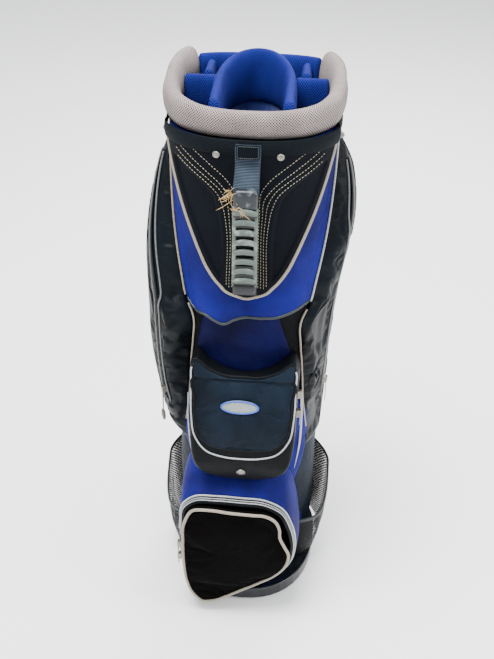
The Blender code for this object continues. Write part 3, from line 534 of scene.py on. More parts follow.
def crumple(piece, held, pressure, slack, steps, reach):
    """Lets a piece settle as cloth that is a little larger than its place: held points stay where they are
    sewn, slack is the extra length, pressure the stuffing, and no point moves further than reach.
    """
    mesh = piece.data
    start = np.empty(len(mesh.vertices) * 3)
    mesh.vertices.foreach_get("co", start)
    sewn = piece.vertex_groups.new(name="sewn")
    sewn.add(np.flatnonzero(held).tolist(), 1.0, "REPLACE")
    cloth = piece.modifiers.new("cloth", "CLOTH")
    cloth.settings.quality = 5
    cloth.settings.mass = 0.15
    cloth.settings.tension_stiffness = 25
    cloth.settings.compression_stiffness = 25
    cloth.settings.shear_stiffness = 12
    cloth.settings.bending_stiffness = 0.6
    cloth.settings.air_damping = 2
    cloth.settings.use_pressure = True
    cloth.settings.uniform_pressure_force = pressure
    cloth.settings.shrink_min = -slack
    cloth.settings.vertex_group_mass = "sewn"
    cloth.settings.effector_weights.gravity = 0
    cloth.point_cache.frame_start = 1
    cloth.point_cache.frame_end = steps
    for step in range(1, steps + 1):
        bpy.context.scene.frame_set(step)
    settled = np.empty_like(start)
    piece.evaluated_get(bpy.context.evaluated_depsgraph_get()).data.vertices.foreach_get("co", settled)
    piece.modifiers.remove(cloth)
    piece.vertex_groups.remove(sewn)
    bpy.context.scene.frame_set(1)
    move = (settled - start).reshape(-1, 3)
    length = np.linalg.norm(move, axis=1, keepdims=True)
    move *= np.minimum(1, reach / np.maximum(length, 1e-9))
    mesh.vertices.foreach_set("co", start + move.reshape(-1))
    mesh.update()
    return piece


def refine(piece):
    """Adds one level of subdivision, the same in the render as in the view."""
    made = piece.modifiers.new("subdivision", "SUBSURF")
    made.levels = made.render_levels = 1
    return piece


def pack_cloth(name, light, dark, roughness=0.5, thread=0.0012, crease=0.5, dust="#30363C", specular=0.07,
               fold=26.0):
    """Woven polyester with a coated face: a plain weave drawn 1.2 mm apart so that it shows, soft creases
    of 8 to 40 mm in the stretched coating, and paler rubbed patches.
    """
    made, tree, shader = new_finish(name, roughness=roughness, specular=specular)
    cloth = add_node(tree, "ShaderNodeUVMap", uv_map="cloth")
    axes = add_node(tree, "ShaderNodeSeparateXYZ", {0: cloth.outputs["UV"]})
    warp, weft = (repeat_wave(tree, axes.outputs[k], thread) for k in (0, 1))
    weave = add_node(tree, "ShaderNodeMath", {0: warp, 1: weft}, operation="MULTIPLY")
    place = add_node(tree, "ShaderNodeTexCoord")
    folds = add_node(tree, "ShaderNodeTexNoise",
                     {"Vector": place.outputs["Object"], "Scale": fold, "Detail": 3.0, "Distortion": 0.9})
    patches = add_node(tree, "ShaderNodeTexNoise", {"Vector": place.outputs["Object"], "Scale": 9.0,
                                                    "Detail": 6.0})
    rubbed = add_node(tree, "ShaderNodeMapRange", {"Value": patches.outputs[0], "From Min": 0.35,
                                                   "From Max": 0.75})
    base = add_node(tree, "ShaderNodeMix", {0: rubbed.outputs[0], 6: srgb(dark), 7: srgb(light)},
                    data_type="RGBA")
    specks = add_node(tree, "ShaderNodeTexNoise", {"Vector": place.outputs["Object"], "Scale": 420.0,
                                                   "Detail": 2.0})
    lint = add_node(tree, "ShaderNodeMapRange", {"Value": specks.outputs[0], "From Min": 0.70,
                                                 "From Max": 0.84,
                                                 "To Max": 0.35})
    colour = add_node(tree, "ShaderNodeMix", {0: lint.outputs[0], 6: base.outputs[2], 7: srgb(dust)},
                      data_type="RGBA")
    shaped = add_node(tree, "ShaderNodeBump", {"Height": folds.outputs[0], "Strength": crease,
                                               "Distance": 0.006})
    woven = add_node(tree, "ShaderNodeBump", {"Height": weave.outputs[0], "Strength": 0.25,
                                              "Distance": 0.0003,
                                              "Normal": shaped.outputs[0]})
    tree.links.new(colour.outputs[2], shader.inputs["Base Color"])
    tree.links.new(woven.outputs[0], shader.inputs["Normal"])
    return made


def solid_cloth(name, light, dark):
    """The same cloth for pieces with no measure of their own: creases, painted dark in their hollows as
    shade.
    """
    made, tree, shader = new_finish(name, roughness=0.5, specular=0.15)
    place = add_node(tree, "ShaderNodeTexCoord")
    folds = add_node(tree, "ShaderNodeTexNoise",
                     {"Vector": place.outputs["Object"], "Scale": 26.0, "Detail": 6.0, "Distortion": 1.2})
    # painted shade and light: the colour follows the fold noise of the bump, dark in hollows, pale on
    # crests
    colour = add_node(tree, "ShaderNodeMix", {0: folds.outputs[0], 6: srgb(dark), 7: srgb(light)},
                      data_type="RGBA")
    shaped = add_node(tree, "ShaderNodeBump", {"Height": folds.outputs[0], "Strength": 0.5,
                                               "Distance": 0.005})
    tree.links.new(colour.outputs[2], shader.inputs["Base Color"])
    tree.links.new(shaped.outputs[0], shader.inputs["Normal"])
    return made


blue_cloth = pack_cloth("royal_blue_pack_cloth", "#1A1C78", "#0B0C44", roughness=0.6, crease=0.35)
black_cloth = pack_cloth("black_coated_pack_cloth", "#070A0E", "#030406", roughness=0.5, crease=0.5,
                         specular=0.10)
wall_cloth = solid_cloth("black_wall_cloth", "#070B10", "#030406")
for wall in ("shell_front", "shell_left", "shell_right", "shell_back"):
    paint_node(wall, wall_cloth)
for inner in ("stay_rod_front_left", "stay_rod_front_right", "stay_rod_rear_left", "stay_rod_rear_right"):
    paint_node(inner, navy_lining)


def seam_reach(z):
    """How far round the body the front panels' side seams lie, at a height."""
    return flow(z, SEAM_HEIGHTS, SEAM_REACHES)


YOKE_TOP = 0.868
YOKE_HALF_WIDTH = 0.102         # reach of the seams at its lower edge
YOKE_THICK = 0.0016
YOKE_EDGE_REACH = (-0.106, -0.085, -0.064, -0.036, -0.019, 0.002, 0.026, 0.046, 0.066, 0.083, 0.106)
YOKE_EDGE_HEIGHT = (0.594, 0.582, 0.583, 0.572, 0.581, 0.590, 0.588, 0.586, 0.592, 0.598, 0.597)


def yoke_point(share, rise):
    """Share runs from seam to seam, rise from the wavy edge to the top; near the edge the cloth stands off
    the body by up to 13 mm in the middle, and a sewn dart sinks it close to each seam.
    """
    edge = flow(share * YOKE_HALF_WIDTH, YOKE_EDGE_REACH, YOKE_EDGE_HEIGHT)
    z = edge + rise * (YOKE_TOP - edge)
    middle = 1 - np.abs(share) ** 3
    flare = 0.0125 * middle * np.exp(-((z - edge) / 0.032) ** 2)
    wave = 0.0022 * np.sin(share * 9 + 0.6) * middle * np.exp(-((z - edge) / 0.02) ** 2)
    dart = 0.0010 * np.exp(-((np.abs(share) - 0.84) / 0.02) ** 2)
    return on_body(share * seam_reach(z), z, 0.0042 + 0.0026 * middle + flare + wave - dart)


def make_yoke():
    """The yoke's cloth: its outer face and the same face moved in towards the body's axis by its thickness.
    """
    share, rise = np.meshgrid(np.linspace(-1, 1, 110), np.linspace(0, 1, 90))
    front = yoke_point(share, rise)
    inward = front[..., :2] / np.linalg.norm(front[..., :2], axis=-1, keepdims=True) * YOKE_THICK
    back = front.copy()
    back[..., :2] -= inward
    return closed_panel("yoke", front, back, blue_cloth)


show(refine(make_yoke()), "bag", ["yoke_panel"])


def swept_cord(name, path, radius, finish, loop=False, sides=10, flat=1.0, outward=None):
    """A round or flattened cord along a path. Outward is the way its flat side faces, at first away from
    the body's axis; at each point it is squared to the path.
    """
    path = np.asarray(path, float)
    if loop:
        run = np.roll(path, -1, axis=0) - np.roll(path, 1, axis=0)
    else:
        run = np.gradient(path, axis=0)
    run /= np.linalg.norm(run, axis=1)[:, None]
    if outward is None:
        outward = path * (1, 1, 0)
    outward = np.broadcast_to(np.asarray(outward, float), path.shape)
    side = np.cross(run, outward)
    side /= np.linalg.norm(side, axis=1)[:, None]
    face = np.cross(side, run)
    turn = np.linspace(0, 2 * math.pi, sides, endpoint=False)
    radius = np.broadcast_to(radius, len(path))[:, None, None]
    ring = np.cos(turn)[None, :, None] * face[:, None, :] * flat
    ring = ring + np.sin(turn)[None, :, None] * side[:, None, :]
    return turn_outwards(closed_tube(name, path[:, None, :] + radius * ring, finish, loop))


def soft_vinyl(name, light, dark, roughness=0.42):
    """Vinyl tape folded over a cord: satin, with faint cross wrinkles 3 mm apart, their hollows painted
    dark as shade.
    """
    made, tree, shader = new_finish(name, roughness=roughness, coat=0.15)
    cloth = add_node(tree, "ShaderNodeUVMap", uv_map="cloth")
    stretch = add_node(tree, "ShaderNodeMapping", {0: cloth.outputs["UV"], 3: (60.0, 330.0, 1.0)})
    wrinkles = add_node(tree, "ShaderNodeTexNoise", {"Vector": stretch.outputs[0], "Scale": 1.0,
                                                     "Detail": 3.0})
    # painted shade: the colour follows the wrinkle noise of the bump, darker in its hollows
    colour = add_node(tree, "ShaderNodeMix", {0: wrinkles.outputs[0], 6: srgb(dark), 7: srgb(light)},
                      data_type="RGBA")
    bump = add_node(tree, "ShaderNodeBump", {"Height": wrinkles.outputs[0], "Strength": 0.5,
                                             "Distance": 0.0008})
    tree.links.new(colour.outputs[2], shader.inputs["Base Color"])
    tree.links.new(bump.outputs[0], shader.inputs["Normal"])
    return made


teal_binding = soft_vinyl("dark_teal_binding", "#081A20", "#030A0E", roughness=0.6)
champagne_piping = soft_vinyl("champagne_vinyl_piping", "#9C9282", "#5E564A")
silver_piping = soft_vinyl("silver_vinyl_piping", "#B9BCBE", "#74777A", roughness=0.32)
edge_share = np.linspace(-1, 1, 150)
show(swept_cord("yoke_binding", yoke_point(edge_share, 0.002), 0.0024, teal_binding, flat=0.8), "bag")

SEAM_PIPING_RADIUS = 0.0017
SEAM_SPANS = {"upper": (0.866, 0.596),
              "lower": (0.584, 0.345)}     # from the collar to the yoke's edge, and below it
for side, word, upper_piping in ((-1, "left", champagne_piping), (1, "right", silver_piping)):
    for part, finish in (("upper", upper_piping), ("lower", champagne_piping)):
        z = np.linspace(*SEAM_SPANS[part], 110)
        seam = on_body(side * (seam_reach(z) + 0.0012), z, 0.0060)
        show(swept_cord(f"seam_piping_{part}_{word}", seam, SEAM_PIPING_RADIUS, finish), "bag")

# ================================================================= collar binding
# A dark teal elastic band that hides the cuff between the collar and the panels below it.
BAND_BOTTOM, BAND_TALL = 0.8495, 0.0225
BAND_OUTSIDE, BAND_INSIDE = 0.0088, 0.0075          # offsets of its two faces
SHIELD_STEP = 0.0085                                # how much further off it lies over the shield


def make_collar_binding():
    """A band 22 mm deep, carried round under the collar; it stands further off where the shield lies under
    it.
    """
    share, rise = np.meshgrid(np.linspace(-1, 1, 200), np.linspace(0, 1, 10))
    reach = share * COLLAR_END
    over_shield = 1 - ease((np.abs(reach) - 0.125) / 0.02)
    bulge = 0.0015 * np.sin(rise * math.pi)
    z = BAND_BOTTOM + BAND_TALL * rise
    front = on_body(reach, z, BAND_OUTSIDE + SHIELD_STEP * over_shield + bulge)
    back = on_body(reach, z, BAND_INSIDE + SHIELD_STEP * over_shield + bulge)
    return closed_panel("collar_binding", front, back, rib_webbing)


def ribbed_webbing(name, light, dark, rib=0.0018):
    """Woven band with ribs along it, drawn 1.8 mm apart: matt, rib tops paler in patches as rubbed wear and
    painted light.
    """
    made, tree, shader = new_finish(name, roughness=0.7, specular=0.08)
    cloth = add_node(tree, "ShaderNodeUVMap", uv_map="cloth")
    axes = add_node(tree, "ShaderNodeSeparateXYZ", {0: cloth.outputs["UV"]})
    ribs = repeat_wave(tree, axes.outputs[1], rib)
    place = add_node(tree, "ShaderNodeTexCoord")
    rubbed = add_node(tree, "ShaderNodeTexNoise", {"Vector": place.outputs["Object"], "Scale": 60.0,
                                                   "Detail": 5.0})
    high = add_node(tree, "ShaderNodeMath", {0: ribs, 1: rubbed.outputs[0]}, operation="MULTIPLY",
                    use_clamp=True)
    # rubbed wear and painted light: the rib crests are coloured pale where the rubbed noise is high
    colour = add_node(tree, "ShaderNodeMix", {0: high.outputs[0], 6: srgb(dark), 7: srgb(light)},
                      data_type="RGBA")
    bump = add_node(tree, "ShaderNodeBump", {"Height": ribs, "Strength": 0.5, "Distance": 0.0005})
    tree.links.new(colour.outputs[2], shader.inputs["Base Color"])
    tree.links.new(bump.outputs[0], shader.inputs["Normal"])
    return made


rib_webbing = ribbed_webbing("ribbed_navy_webbing", "#0B1822", "#03070B")
show(make_collar_binding(), "bag")
paint_node("top_cuff", wall_cloth)

# ================================================================= moulded shield
# Foam with a woven face, pressed hot in a mould: a sunk field on each side, thick piping round the
# edge, and four rows of cream stitching a side that turn down beside the grip.
SHIELD_LOW, SHIELD_HIGH = 0.620, 0.860
SHIELD_FACE, SHIELD_BACK = 0.0155, 0.0088           # offsets from the body's plan
FIELD_SINK = 0.0026
FIELD_SLOPE = 0.0045                                # width over which the sunk field goes down
SHIELD_HEIGHTS = (0.620, 0.626, 0.640, 0.662, 0.690, 0.717, 0.762, 0.800, 0.860)
SHIELD_REACHES = (0.004, 0.022, 0.038, 0.0535, 0.066, 0.0765, 0.0935, 0.107, 0.128)
STITCH_ROWS = (
    ((0.092, 0.862), (0.068, 0.846), (0.047, 0.829), (0.029, 0.812), (0.0185, 0.795), (0.0165, 0.760),
     (0.0165, 0.640)),
    ((0.100, 0.853), (0.082, 0.841), (0.058, 0.823), (0.034, 0.801), (0.0225, 0.783), (0.0203, 0.755),
     (0.0203, 0.638)),
    ((0.101, 0.843), (0.077, 0.827), (0.052, 0.809), (0.036, 0.794), (0.0272, 0.775), (0.0243, 0.750),
     (0.0243, 0.637)),
    ((0.098, 0.832), (0.074, 0.817), (0.053, 0.802), (0.040, 0.788), (0.0325, 0.768), (0.0285, 0.742),
     (0.0280, 0.640)),
)


def shield_offset(reach, z):
    """How far the shield's face stands off: its face, less a field outside the stitching that is sunk by
    smooth steps at its four sides.
    """
    heights = [p[1] for p in STITCH_ROWS[3]][::-1]
    reaches = [p[0] for p in STITCH_ROWS[3]][::-1]
    inner = flow(z, heights, reaches) + 0.0055
    outer = flow(z, SHIELD_HEIGHTS, SHIELD_REACHES) - 0.0085
    above = ease((0.836 - z - 0.10 * np.clip(np.abs(reach) - 0.07, -0.03, 1)) / 0.006)
    sunk = ease((np.abs(reach) - inner) / FIELD_SLOPE) * ease((outer - np.abs(reach)) / FIELD_SLOPE) * above
    return SHIELD_FACE - FIELD_SINK * sunk


def make_shield():
    """Its face between its two curved sides, dropped 5 mm by a square law over the last 4 mm to its edge.
    """
    share, rise = np.meshgrid(np.linspace(-1, 1, 150), np.linspace(0, 1, 150) ** 1.5)
    z = SHIELD_LOW + rise * (SHIELD_HIGH - SHIELD_LOW)
    reach = share * flow(z, SHIELD_HEIGHTS, SHIELD_REACHES)
    edge = 1 - np.clip((1 - np.abs(share)) * flow(z, SHIELD_HEIGHTS, SHIELD_REACHES) / 0.004, 0, 1)
    drop = 0.005 * edge ** 2
    front = on_body(reach, z, shield_offset(reach, z) - drop)
    back = on_body(reach, z, SHIELD_BACK)
    return closed_panel("shield", front, back, moulded_foam)


moulded_foam = pack_cloth("moulded_navy_foam", "#060B14", "#020409", roughness=0.65, thread=0.0014,
                          crease=0.15)
show(make_shield(), "bag", ["shield_panel"])
SHIELD_TIP = 0.020              # height of the shield's rounded foot
SHIELD_PIPING_RADIUS, SHIELD_PIPING_OFFSET = 0.0031, 0.0135


def shield_rim():
    """Down the left side, round the foot and up the right side, in even steps; a quarter sine rounds the
    foot.
    """
    bend = SHIELD_LOW + SHIELD_TIP
    foot = bend - SHIELD_TIP * np.sin(np.linspace(0.05, 1, 26) * math.pi / 2)
    z = np.concatenate([np.linspace(SHIELD_HIGH, bend, 90), foot])
    reach = flow(z, SHIELD_HEIGHTS, SHIELD_REACHES)
    reach[-1] = 0.0
    left = on_body(-reach, z, SHIELD_PIPING_OFFSET)
    right = on_body(reach[:-1], z[:-1], SHIELD_PIPING_OFFSET)[::-1]
    return line_through(np.concatenate([left, right]), 320)


show(swept_cord("shield_piping", shield_rim(), SHIELD_PIPING_RADIUS, champagne_piping, sides=12), "bag")


def add_stitches(name, paths, finish, pitch=0.0050, length=0.0030, radius=0.00042):
    """Rows of stitches, each a short spindle along its path: rings of six points, thin at both ends."""
    middles, runs = [], []
    for path in paths:
        steps = np.linalg.norm(np.diff(path, axis=0), axis=1)
        along = np.concatenate([[0], np.cumsum(steps)])
        centre = np.arange(pitch / 2, along[-1], pitch)
        start, end = (np.stack([np.interp(centre + d, along, path[:, k]) for k in range(3)], axis=1)
                      for d in (-length / 2, length / 2))
        middles.append((start + end) / 2)
        runs.append(end - start)
    middle, run = np.concatenate(middles), np.concatenate(runs)
    side = np.cross(run, middle * (1, 1, 0) + (0, 0, 1e-4))
    side /= np.linalg.norm(side, axis=1)[:, None]
    face = np.cross(side, run)
    face /= np.linalg.norm(face, axis=1)[:, None]
    lengthwise = np.array([-0.5, -0.36, 0, 0.36, 0.5])
    width = np.array([0.35, 0.85, 1, 0.85, 0.35]) * radius
    turn = np.linspace(0, 2 * math.pi, 6, endpoint=False)
    rings = (middle[:, None, None] + lengthwise[None, :, None, None] * run[:, None, None]
             + width[None, :, None, None] * (np.cos(turn)[None, None, :, None] * face[:, None, None]
                                             + np.sin(turn)[None, None, :, None] * side[:, None, None]))
    points = rings.reshape(-1, 3)
    one = np.arange(30).reshape(5, 6)
    one = np.concatenate([one, one[:, :1]], axis=1)
    caps = np.array([[3, 2, 1, 0], [5, 4, 3, 0], [24, 25, 26, 27], [24, 27, 28, 29]])
    faces = np.concatenate([grid_faces(one), caps])
    faces = (faces[None] + 30 * np.arange(len(middle))[:, None, None]).reshape(-1, 4)
    spots = np.zeros((len(faces), 4, 2))
    return turn_outwards(add_mesh(name, points, faces, spots, finish))


def twisted_thread(name, light, dark):
    """Bonded nylon thread: a soft shine and a slight change of shade from stitch to stitch."""
    made, tree, shader = new_finish(name, roughness=0.55, sheen=0.2)
    place = add_node(tree, "ShaderNodeTexCoord")
    shade = add_node(tree, "ShaderNodeTexNoise", {"Vector": place.outputs["Object"], "Scale": 180.0})
    colour = add_node(tree, "ShaderNodeMix", {0: shade.outputs[0], 6: srgb(dark), 7: srgb(light)},
                      data_type="RGBA")
    tree.links.new(colour.outputs[2], shader.inputs["Base Color"])
    return made


cream_thread = twisted_thread("cream_thread", "#B5B194", "#77745A")
rows = []
for row in STITCH_ROWS:
    reach, z = line_through(row, 160).T
    for side in (-1, 1):
        rows.append(on_body(side * reach, z, shield_offset(reach, z) + 0.0002))
show(add_stitches("shield_stitching", rows, cream_thread), "bag")


def aged_steel(name, light, dark):
    """Zinc plated steel, dulled by handling: blotches of darker, rougher plating."""
    roughness = 0.4
    made, tree, shader = new_finish(name, roughness=roughness, metallic=1.0)
    place = add_node(tree, "ShaderNodeTexCoord")
    blotches = add_node(tree, "ShaderNodeTexNoise", {"Vector": place.outputs["Object"], "Scale": 260.0,
                                                     "Detail": 4.0})
    colour = add_node(tree, "ShaderNodeMix", {0: blotches.outputs[0], 6: srgb(dark), 7: srgb(light)},
                      data_type="RGBA")
    rough = add_node(tree, "ShaderNodeMapRange", {"Value": blotches.outputs[0], "To Min": roughness - 0.12,
                                                  "To Max": roughness + 0.18})
    tree.links.new(colour.outputs[2], shader.inputs["Base Color"])
    tree.links.new(rough.outputs[0], shader.inputs["Roughness"])
    return made


aged_zinc = aged_steel("aged_zinc_plate", "#A9A49B", "#5F5A54")
for stud in ("front_rivet_left", "front_rivet_right", "side_stud_left", "side_stud_right",
             "strap_ring_upper", "strap_ring_lower"):
    paint_node(stud, aged_zinc)
for slider in ("middle_zip_upper", "middle_zip_lower", "ball_zip_upper", "ball_zip_lower",
               "garment_zip_left", "garment_zip_right"):
    paint_node(slider + "_slider", aged_zinc)
    paint_node(slider + "_pull", aged_zinc)

# ================================================================= grip
# A rigid bowed handle under the collar strap: dark ends, and a grey-green rubber sleeve of nine
# arched ribs. Its strap is webbing, rubbed grey and painted light on its rib tops, and fraying where it is
# sewn down.
def moulded_plastic(name, light, dark, roughness=0.45, grain=900.0, scratch=0.3):
    """Injection moulded ABS or polypropylene: a fine pebble grain, drawn 1 mm wide, and scuffs that are
    paler.
    """
    made, tree, shader = new_finish(name, roughness=roughness)
    place = add_node(tree, "ShaderNodeTexCoord")
    pebbles = add_node(tree, "ShaderNodeTexNoise", {"Vector": place.outputs["Object"], "Scale": grain,
                                                    "Detail": 1.0})
    scuffs = add_node(tree, "ShaderNodeTexNoise", {"Vector": place.outputs["Object"], "Scale": 45.0,
                                                   "Detail": 8.0,
                                                   "Distortion": 2.0})
    patchy = add_node(tree, "ShaderNodeMapRange", {"Value": scuffs.outputs[0], "From Min": 0.52,
                                                 "From Max": 0.72,
                                                 "To Max": scratch})
    colour = add_node(tree, "ShaderNodeMix", {0: patchy.outputs[0], 6: srgb(dark), 7: srgb(light)},
                      data_type="RGBA")
    bump = add_node(tree, "ShaderNodeBump", {"Height": pebbles.outputs[0], "Strength": 0.3,
                                             "Distance": 0.0003})
    tree.links.new(colour.outputs[2], shader.inputs["Base Color"])
    tree.links.new(bump.outputs[0], shader.inputs["Normal"])
    return made


slate_plastic = moulded_plastic("slate_abs", "#7C8A92", "#0E161D", roughness=0.4, scratch=0.5)
grip_rubber = moulded_plastic("grey_green_grip_rubber", "#858F88", "#4C5650", roughness=0.6, scratch=0.9)
RIB_COUNT, RIB_LOW, RIB_HIGH, RIB_HALF = 8, 0.6730, 0.7840, 0.0158
dark_plastic = moulded_plastic("dark_abs", "#1A242C", "#05080B", roughness=0.5)
paint_node("grip_bar", dark_plastic)
paint_node("grip_sleeve", dark_plastic)


def make_rib(number):
    """A bar across the grip, arched 3.5 mm upwards and 1.5 mm forwards in its middle, thick there and thin
    at its ends: the arch is one less the square of the share of its half width.
    """
    share = np.linspace(-1, 1, 26)
    arch = 1 - share ** 2
    z = RIB_LOW + number * (RIB_HIGH - RIB_LOW - 0.0035) / (RIB_COUNT - 1) + 0.0035 * arch
    path = np.stack([share * RIB_HALF, -0.1675 - 0.0022 * np.sqrt(arch), z], axis=-1)
    return swept_cord(f"grip_rib_{number + 1}", path, 0.0031 + 0.0016 * arch ** 0.5, grip_rubber,
                      sides=12, flat=0.7, outward=(0, -1, 0))


for number in range(RIB_COUNT):
    show(make_rib(number), "bag")
for side, word in ((-1, "left"), (1, "right")):
    rail_z = np.linspace(0.664, 0.788, 60)
    rail_path = np.stack([np.full(60, side * 0.0150),
                          -0.1672 + 0.004 * (np.abs(rail_z - 0.7260) / 0.0620) ** 6, rail_z], -1)
    show(swept_cord(f"grip_edge_{word}", rail_path, 0.0030, grip_rubber, sides=12, outward=(0, -1, 0)),
         "bag")
for word, z, tall, finish in (("top", 0.8000, 0.0150, slate_plastic),
                              ("foot", 0.6590, 0.0085, dark_plastic)):
    u, v = superellipse(36, 0.0170, tall, 5.0)
    depth = np.array([-0.1520, -0.1640, -0.1672, -0.1690, -0.1698])
    size = np.array([1.0, 1.0, 0.97, 0.86, 0.60])
    cap_rings = np.stack([size[:, None] * u, np.repeat(depth[:, None], 36, 1), z + size[:, None] * v],
                         axis=-1)
    show(turn_outwards(closed_tube(f"grip_{word}_cap", cap_rings, finish)), "bag")

# its pale rib tops are partly rubbed grey and partly painted light
worn_and_lit_webbing = ribbed_webbing("worn_and_lit_grey_webbing", "#5A6672", "#151E28", rib=0.0022)


def make_grip_strap():
    """The strap from the collar down over the grip's top: bows out 3 mm half way, 5 mm thick with round
    edges.
    """
    share, rise = np.meshgrid(np.linspace(-1, 1, 26), np.linspace(0, 1, 40))
    z = 0.8665 - rise * 0.0600
    round_edge = 0.0014 * (1 - np.abs(share) ** 4)
    bow = 0.0030 * np.sin(rise * math.pi) + 0.0300 * ease((rise - 0.45) / 0.55)
    front = on_body(share * (0.0172 - 0.0014 * rise), z, 0.0180 + bow + round_edge)
    back = on_body(share * (0.0172 - 0.0014 * rise), z, 0.0168 + bow - round_edge)
    return closed_panel("grip_strap_web", front, back, worn_and_lit_webbing)


show(make_grip_strap(), "bag", ["grip_strap"])
patch_share, patch_rise = np.meshgrid(np.linspace(-1, 1, 20), np.linspace(0, 1, 20))
patch_bulge = 0.0010 * (1 - np.maximum(np.abs(patch_share), np.abs(2 * patch_rise - 1)) ** 6)
patch_at = (patch_share * 0.0150, 0.8465 + 0.0200 * patch_rise)
show(closed_panel("grip_strap_patch", on_body(*patch_at, 0.0218 + patch_bulge), on_body(*patch_at, 0.0205),
                  rib_webbing),
     "bag")
PATCH_HALF, PATCH_LOW, PATCH_HIGH = 0.0135, 0.8482, 0.8648
patch_outline = np.array([(-PATCH_HALF, PATCH_LOW), (PATCH_HALF, PATCH_LOW), (PATCH_HALF, PATCH_HIGH),
                          (-PATCH_HALF, PATCH_HIGH), (-PATCH_HALF, PATCH_LOW)])
patch_seam = np.stack([np.interp(np.linspace(0, 4, 90), np.arange(5), patch_outline[:, k]) for k in (0, 1)],
                      axis=1)
show(add_stitches("grip_strap_stitching", [on_body(patch_seam[:, 0], patch_seam[:, 1], 0.0229)],
                  twisted_thread("dark_thread", "#3A444E", "#1A2129"), pitch=0.0028, length=0.0021), "bag")

tan_thread = twisted_thread("tan_frayed_thread", "#C9A86A", "#8C6A34")


def frayed_ends(name, place, count, seed, length=0.011):
    """A tuft of curling thread ends: each starts near the place and walks outwards and down with a random
    curl.
    """
    draw = np.random.default_rng(seed)
    share = np.linspace(0, 1, 12)[None, :, None]
    start = np.asarray(place) + draw.normal(0, 1, (count, 1, 3)) * (0.0035, 0.0008, 0.0035)
    way = draw.normal(0, 1, (count, 1, 3)) * (0.7, 0.35, 0.7) + (0, -0.35, -0.25)
    curl = draw.normal(0, 1, (count, 1, 3)) * (0.5, 0.3, 0.5)
    paths = start + length * (share * way + share ** 2 * curl)
    paths[..., 1] = np.minimum(paths[..., 1], place[1] + 0.001)
    turn = np.linspace(0, 2 * math.pi, 6, endpoint=False)
    ring = np.stack([np.cos(turn), np.sin(turn), np.sin(turn)], axis=-1)
    radius = 0.00042 * (1 - 0.5 * share[..., None])
    rings = paths[:, :, None] + radius * ring
    one = np.arange(72).reshape(12, 6)
    one = np.concatenate([one, one[:, :1]], axis=1)
    caps = np.array([[3, 2, 1, 0], [5, 4, 3, 0], [66, 67, 68, 69], [66, 69, 70, 71]])
    faces = np.concatenate([grid_faces(one), caps])
    faces = (faces[None] + 72 * np.arange(count)[:, None, None]).reshape(-1, 4)
    return turn_outwards(add_mesh(name, rings.reshape(-1, 3), faces, np.zeros((len(faces), 4, 2)),
                                  tan_thread))


show(frayed_ends("grip_fraying", (-0.019, -0.1600, 0.806), 34, 7), "bag")
show(frayed_ends("grip_fraying_low", (-0.012, -0.1690, 0.788), 16, 11, length=0.008), "bag")

# ================================================================= waist
# Below the yoke the body shows as a sunk band of black mesh with a blue cloth panel sewn on its
# middle, which narrows downwards to the middle pocket. The panel's cloth is the blue cloth painted darker,
# as painted shade under the yoke's overhang.
black_mesh = spacer_mesh("black_spacer_mesh", "#070A10", "#030509", "#000101", across=0.0036, along=0.0030)
# painted shade: the blue cloth made darker for the shade under the yoke's overhang
shaded_blue_cloth = pack_cloth("shaded_blue_pack_cloth", "#0B0C44", "#050522", roughness=0.65, crease=0.5)


def make_waist():
    """The body's wall between the side seams, from the yoke down behind the middle pocket, lightly
    hollowed.
    """
    share, rise = np.meshgrid(np.linspace(-1, 1, 60), np.linspace(0, 1, 60))
    z = 0.400 + 0.195 * rise
    reach = share * (seam_reach(z) + 0.001)
    return closed_panel("waist_mesh", on_body(reach, z, 0.0040 + 0.0006 * np.cos(share * math.pi)),
                        on_body(reach, z, 0.0012), black_mesh)


show(make_waist(), "bag", ["waist_panel"])


def make_waist_inset():
    """A cloth trapezoid over the mesh: 130 mm wide under the yoke, 150 mm at z 0.50; stuffed a little, so
    it stands off 6 mm in the middle of its width and dips to the mesh at its sewn sides.
    """
    share, rise = np.meshgrid(np.linspace(-1, 1, 60), np.linspace(0, 1, 50))
    z = 0.455 + 0.138 * rise
    left = flow(z, (0.455, 0.502, 0.565, 0.593), (-0.080, -0.079, -0.068, -0.062))
    right = flow(z, (0.455, 0.502, 0.565, 0.593), (0.080, 0.072, 0.053, 0.046))
    reach = (left + right) / 2 + share * (right - left) / 2
    swell = 0.0050 * (1 - np.abs(share) ** 3) + 0.0012 * np.sin(z * 120 + share * 2) * (1 - share ** 2)
    return closed_panel("waist_inset", on_body(reach, z, 0.0052 + swell), on_body(reach, z, 0.0042),
                        shaded_blue_cloth)


show(make_waist_inset(), "bag")

# ================================================================= lower field
# The blue cloth below and beside the middle pocket: wide at the pocket's foot, narrow above the
# bottle pockets, and out to a tip beside the ball pocket.
FIELD_HEIGHTS = (0.060, 0.100, 0.124, 0.160, 0.213, 0.260, 0.310, 0.340, 0.400, 0.420)
FIELD_RIGHT = (0.090, 0.105, 0.114, 0.099, 0.087, 0.098, 0.112, 0.112, 0.103, 0.0995)
FIELD_LEFT = (0.088, 0.090, 0.091, 0.090, 0.088, 0.096, 0.108, 0.112, 0.103, 0.0995)


slate_cloth = pack_cloth("slate_worn_pack_cloth", "#182431", "#080E16", roughness=0.6, crease=0.5,
                         dust="#5E666C")


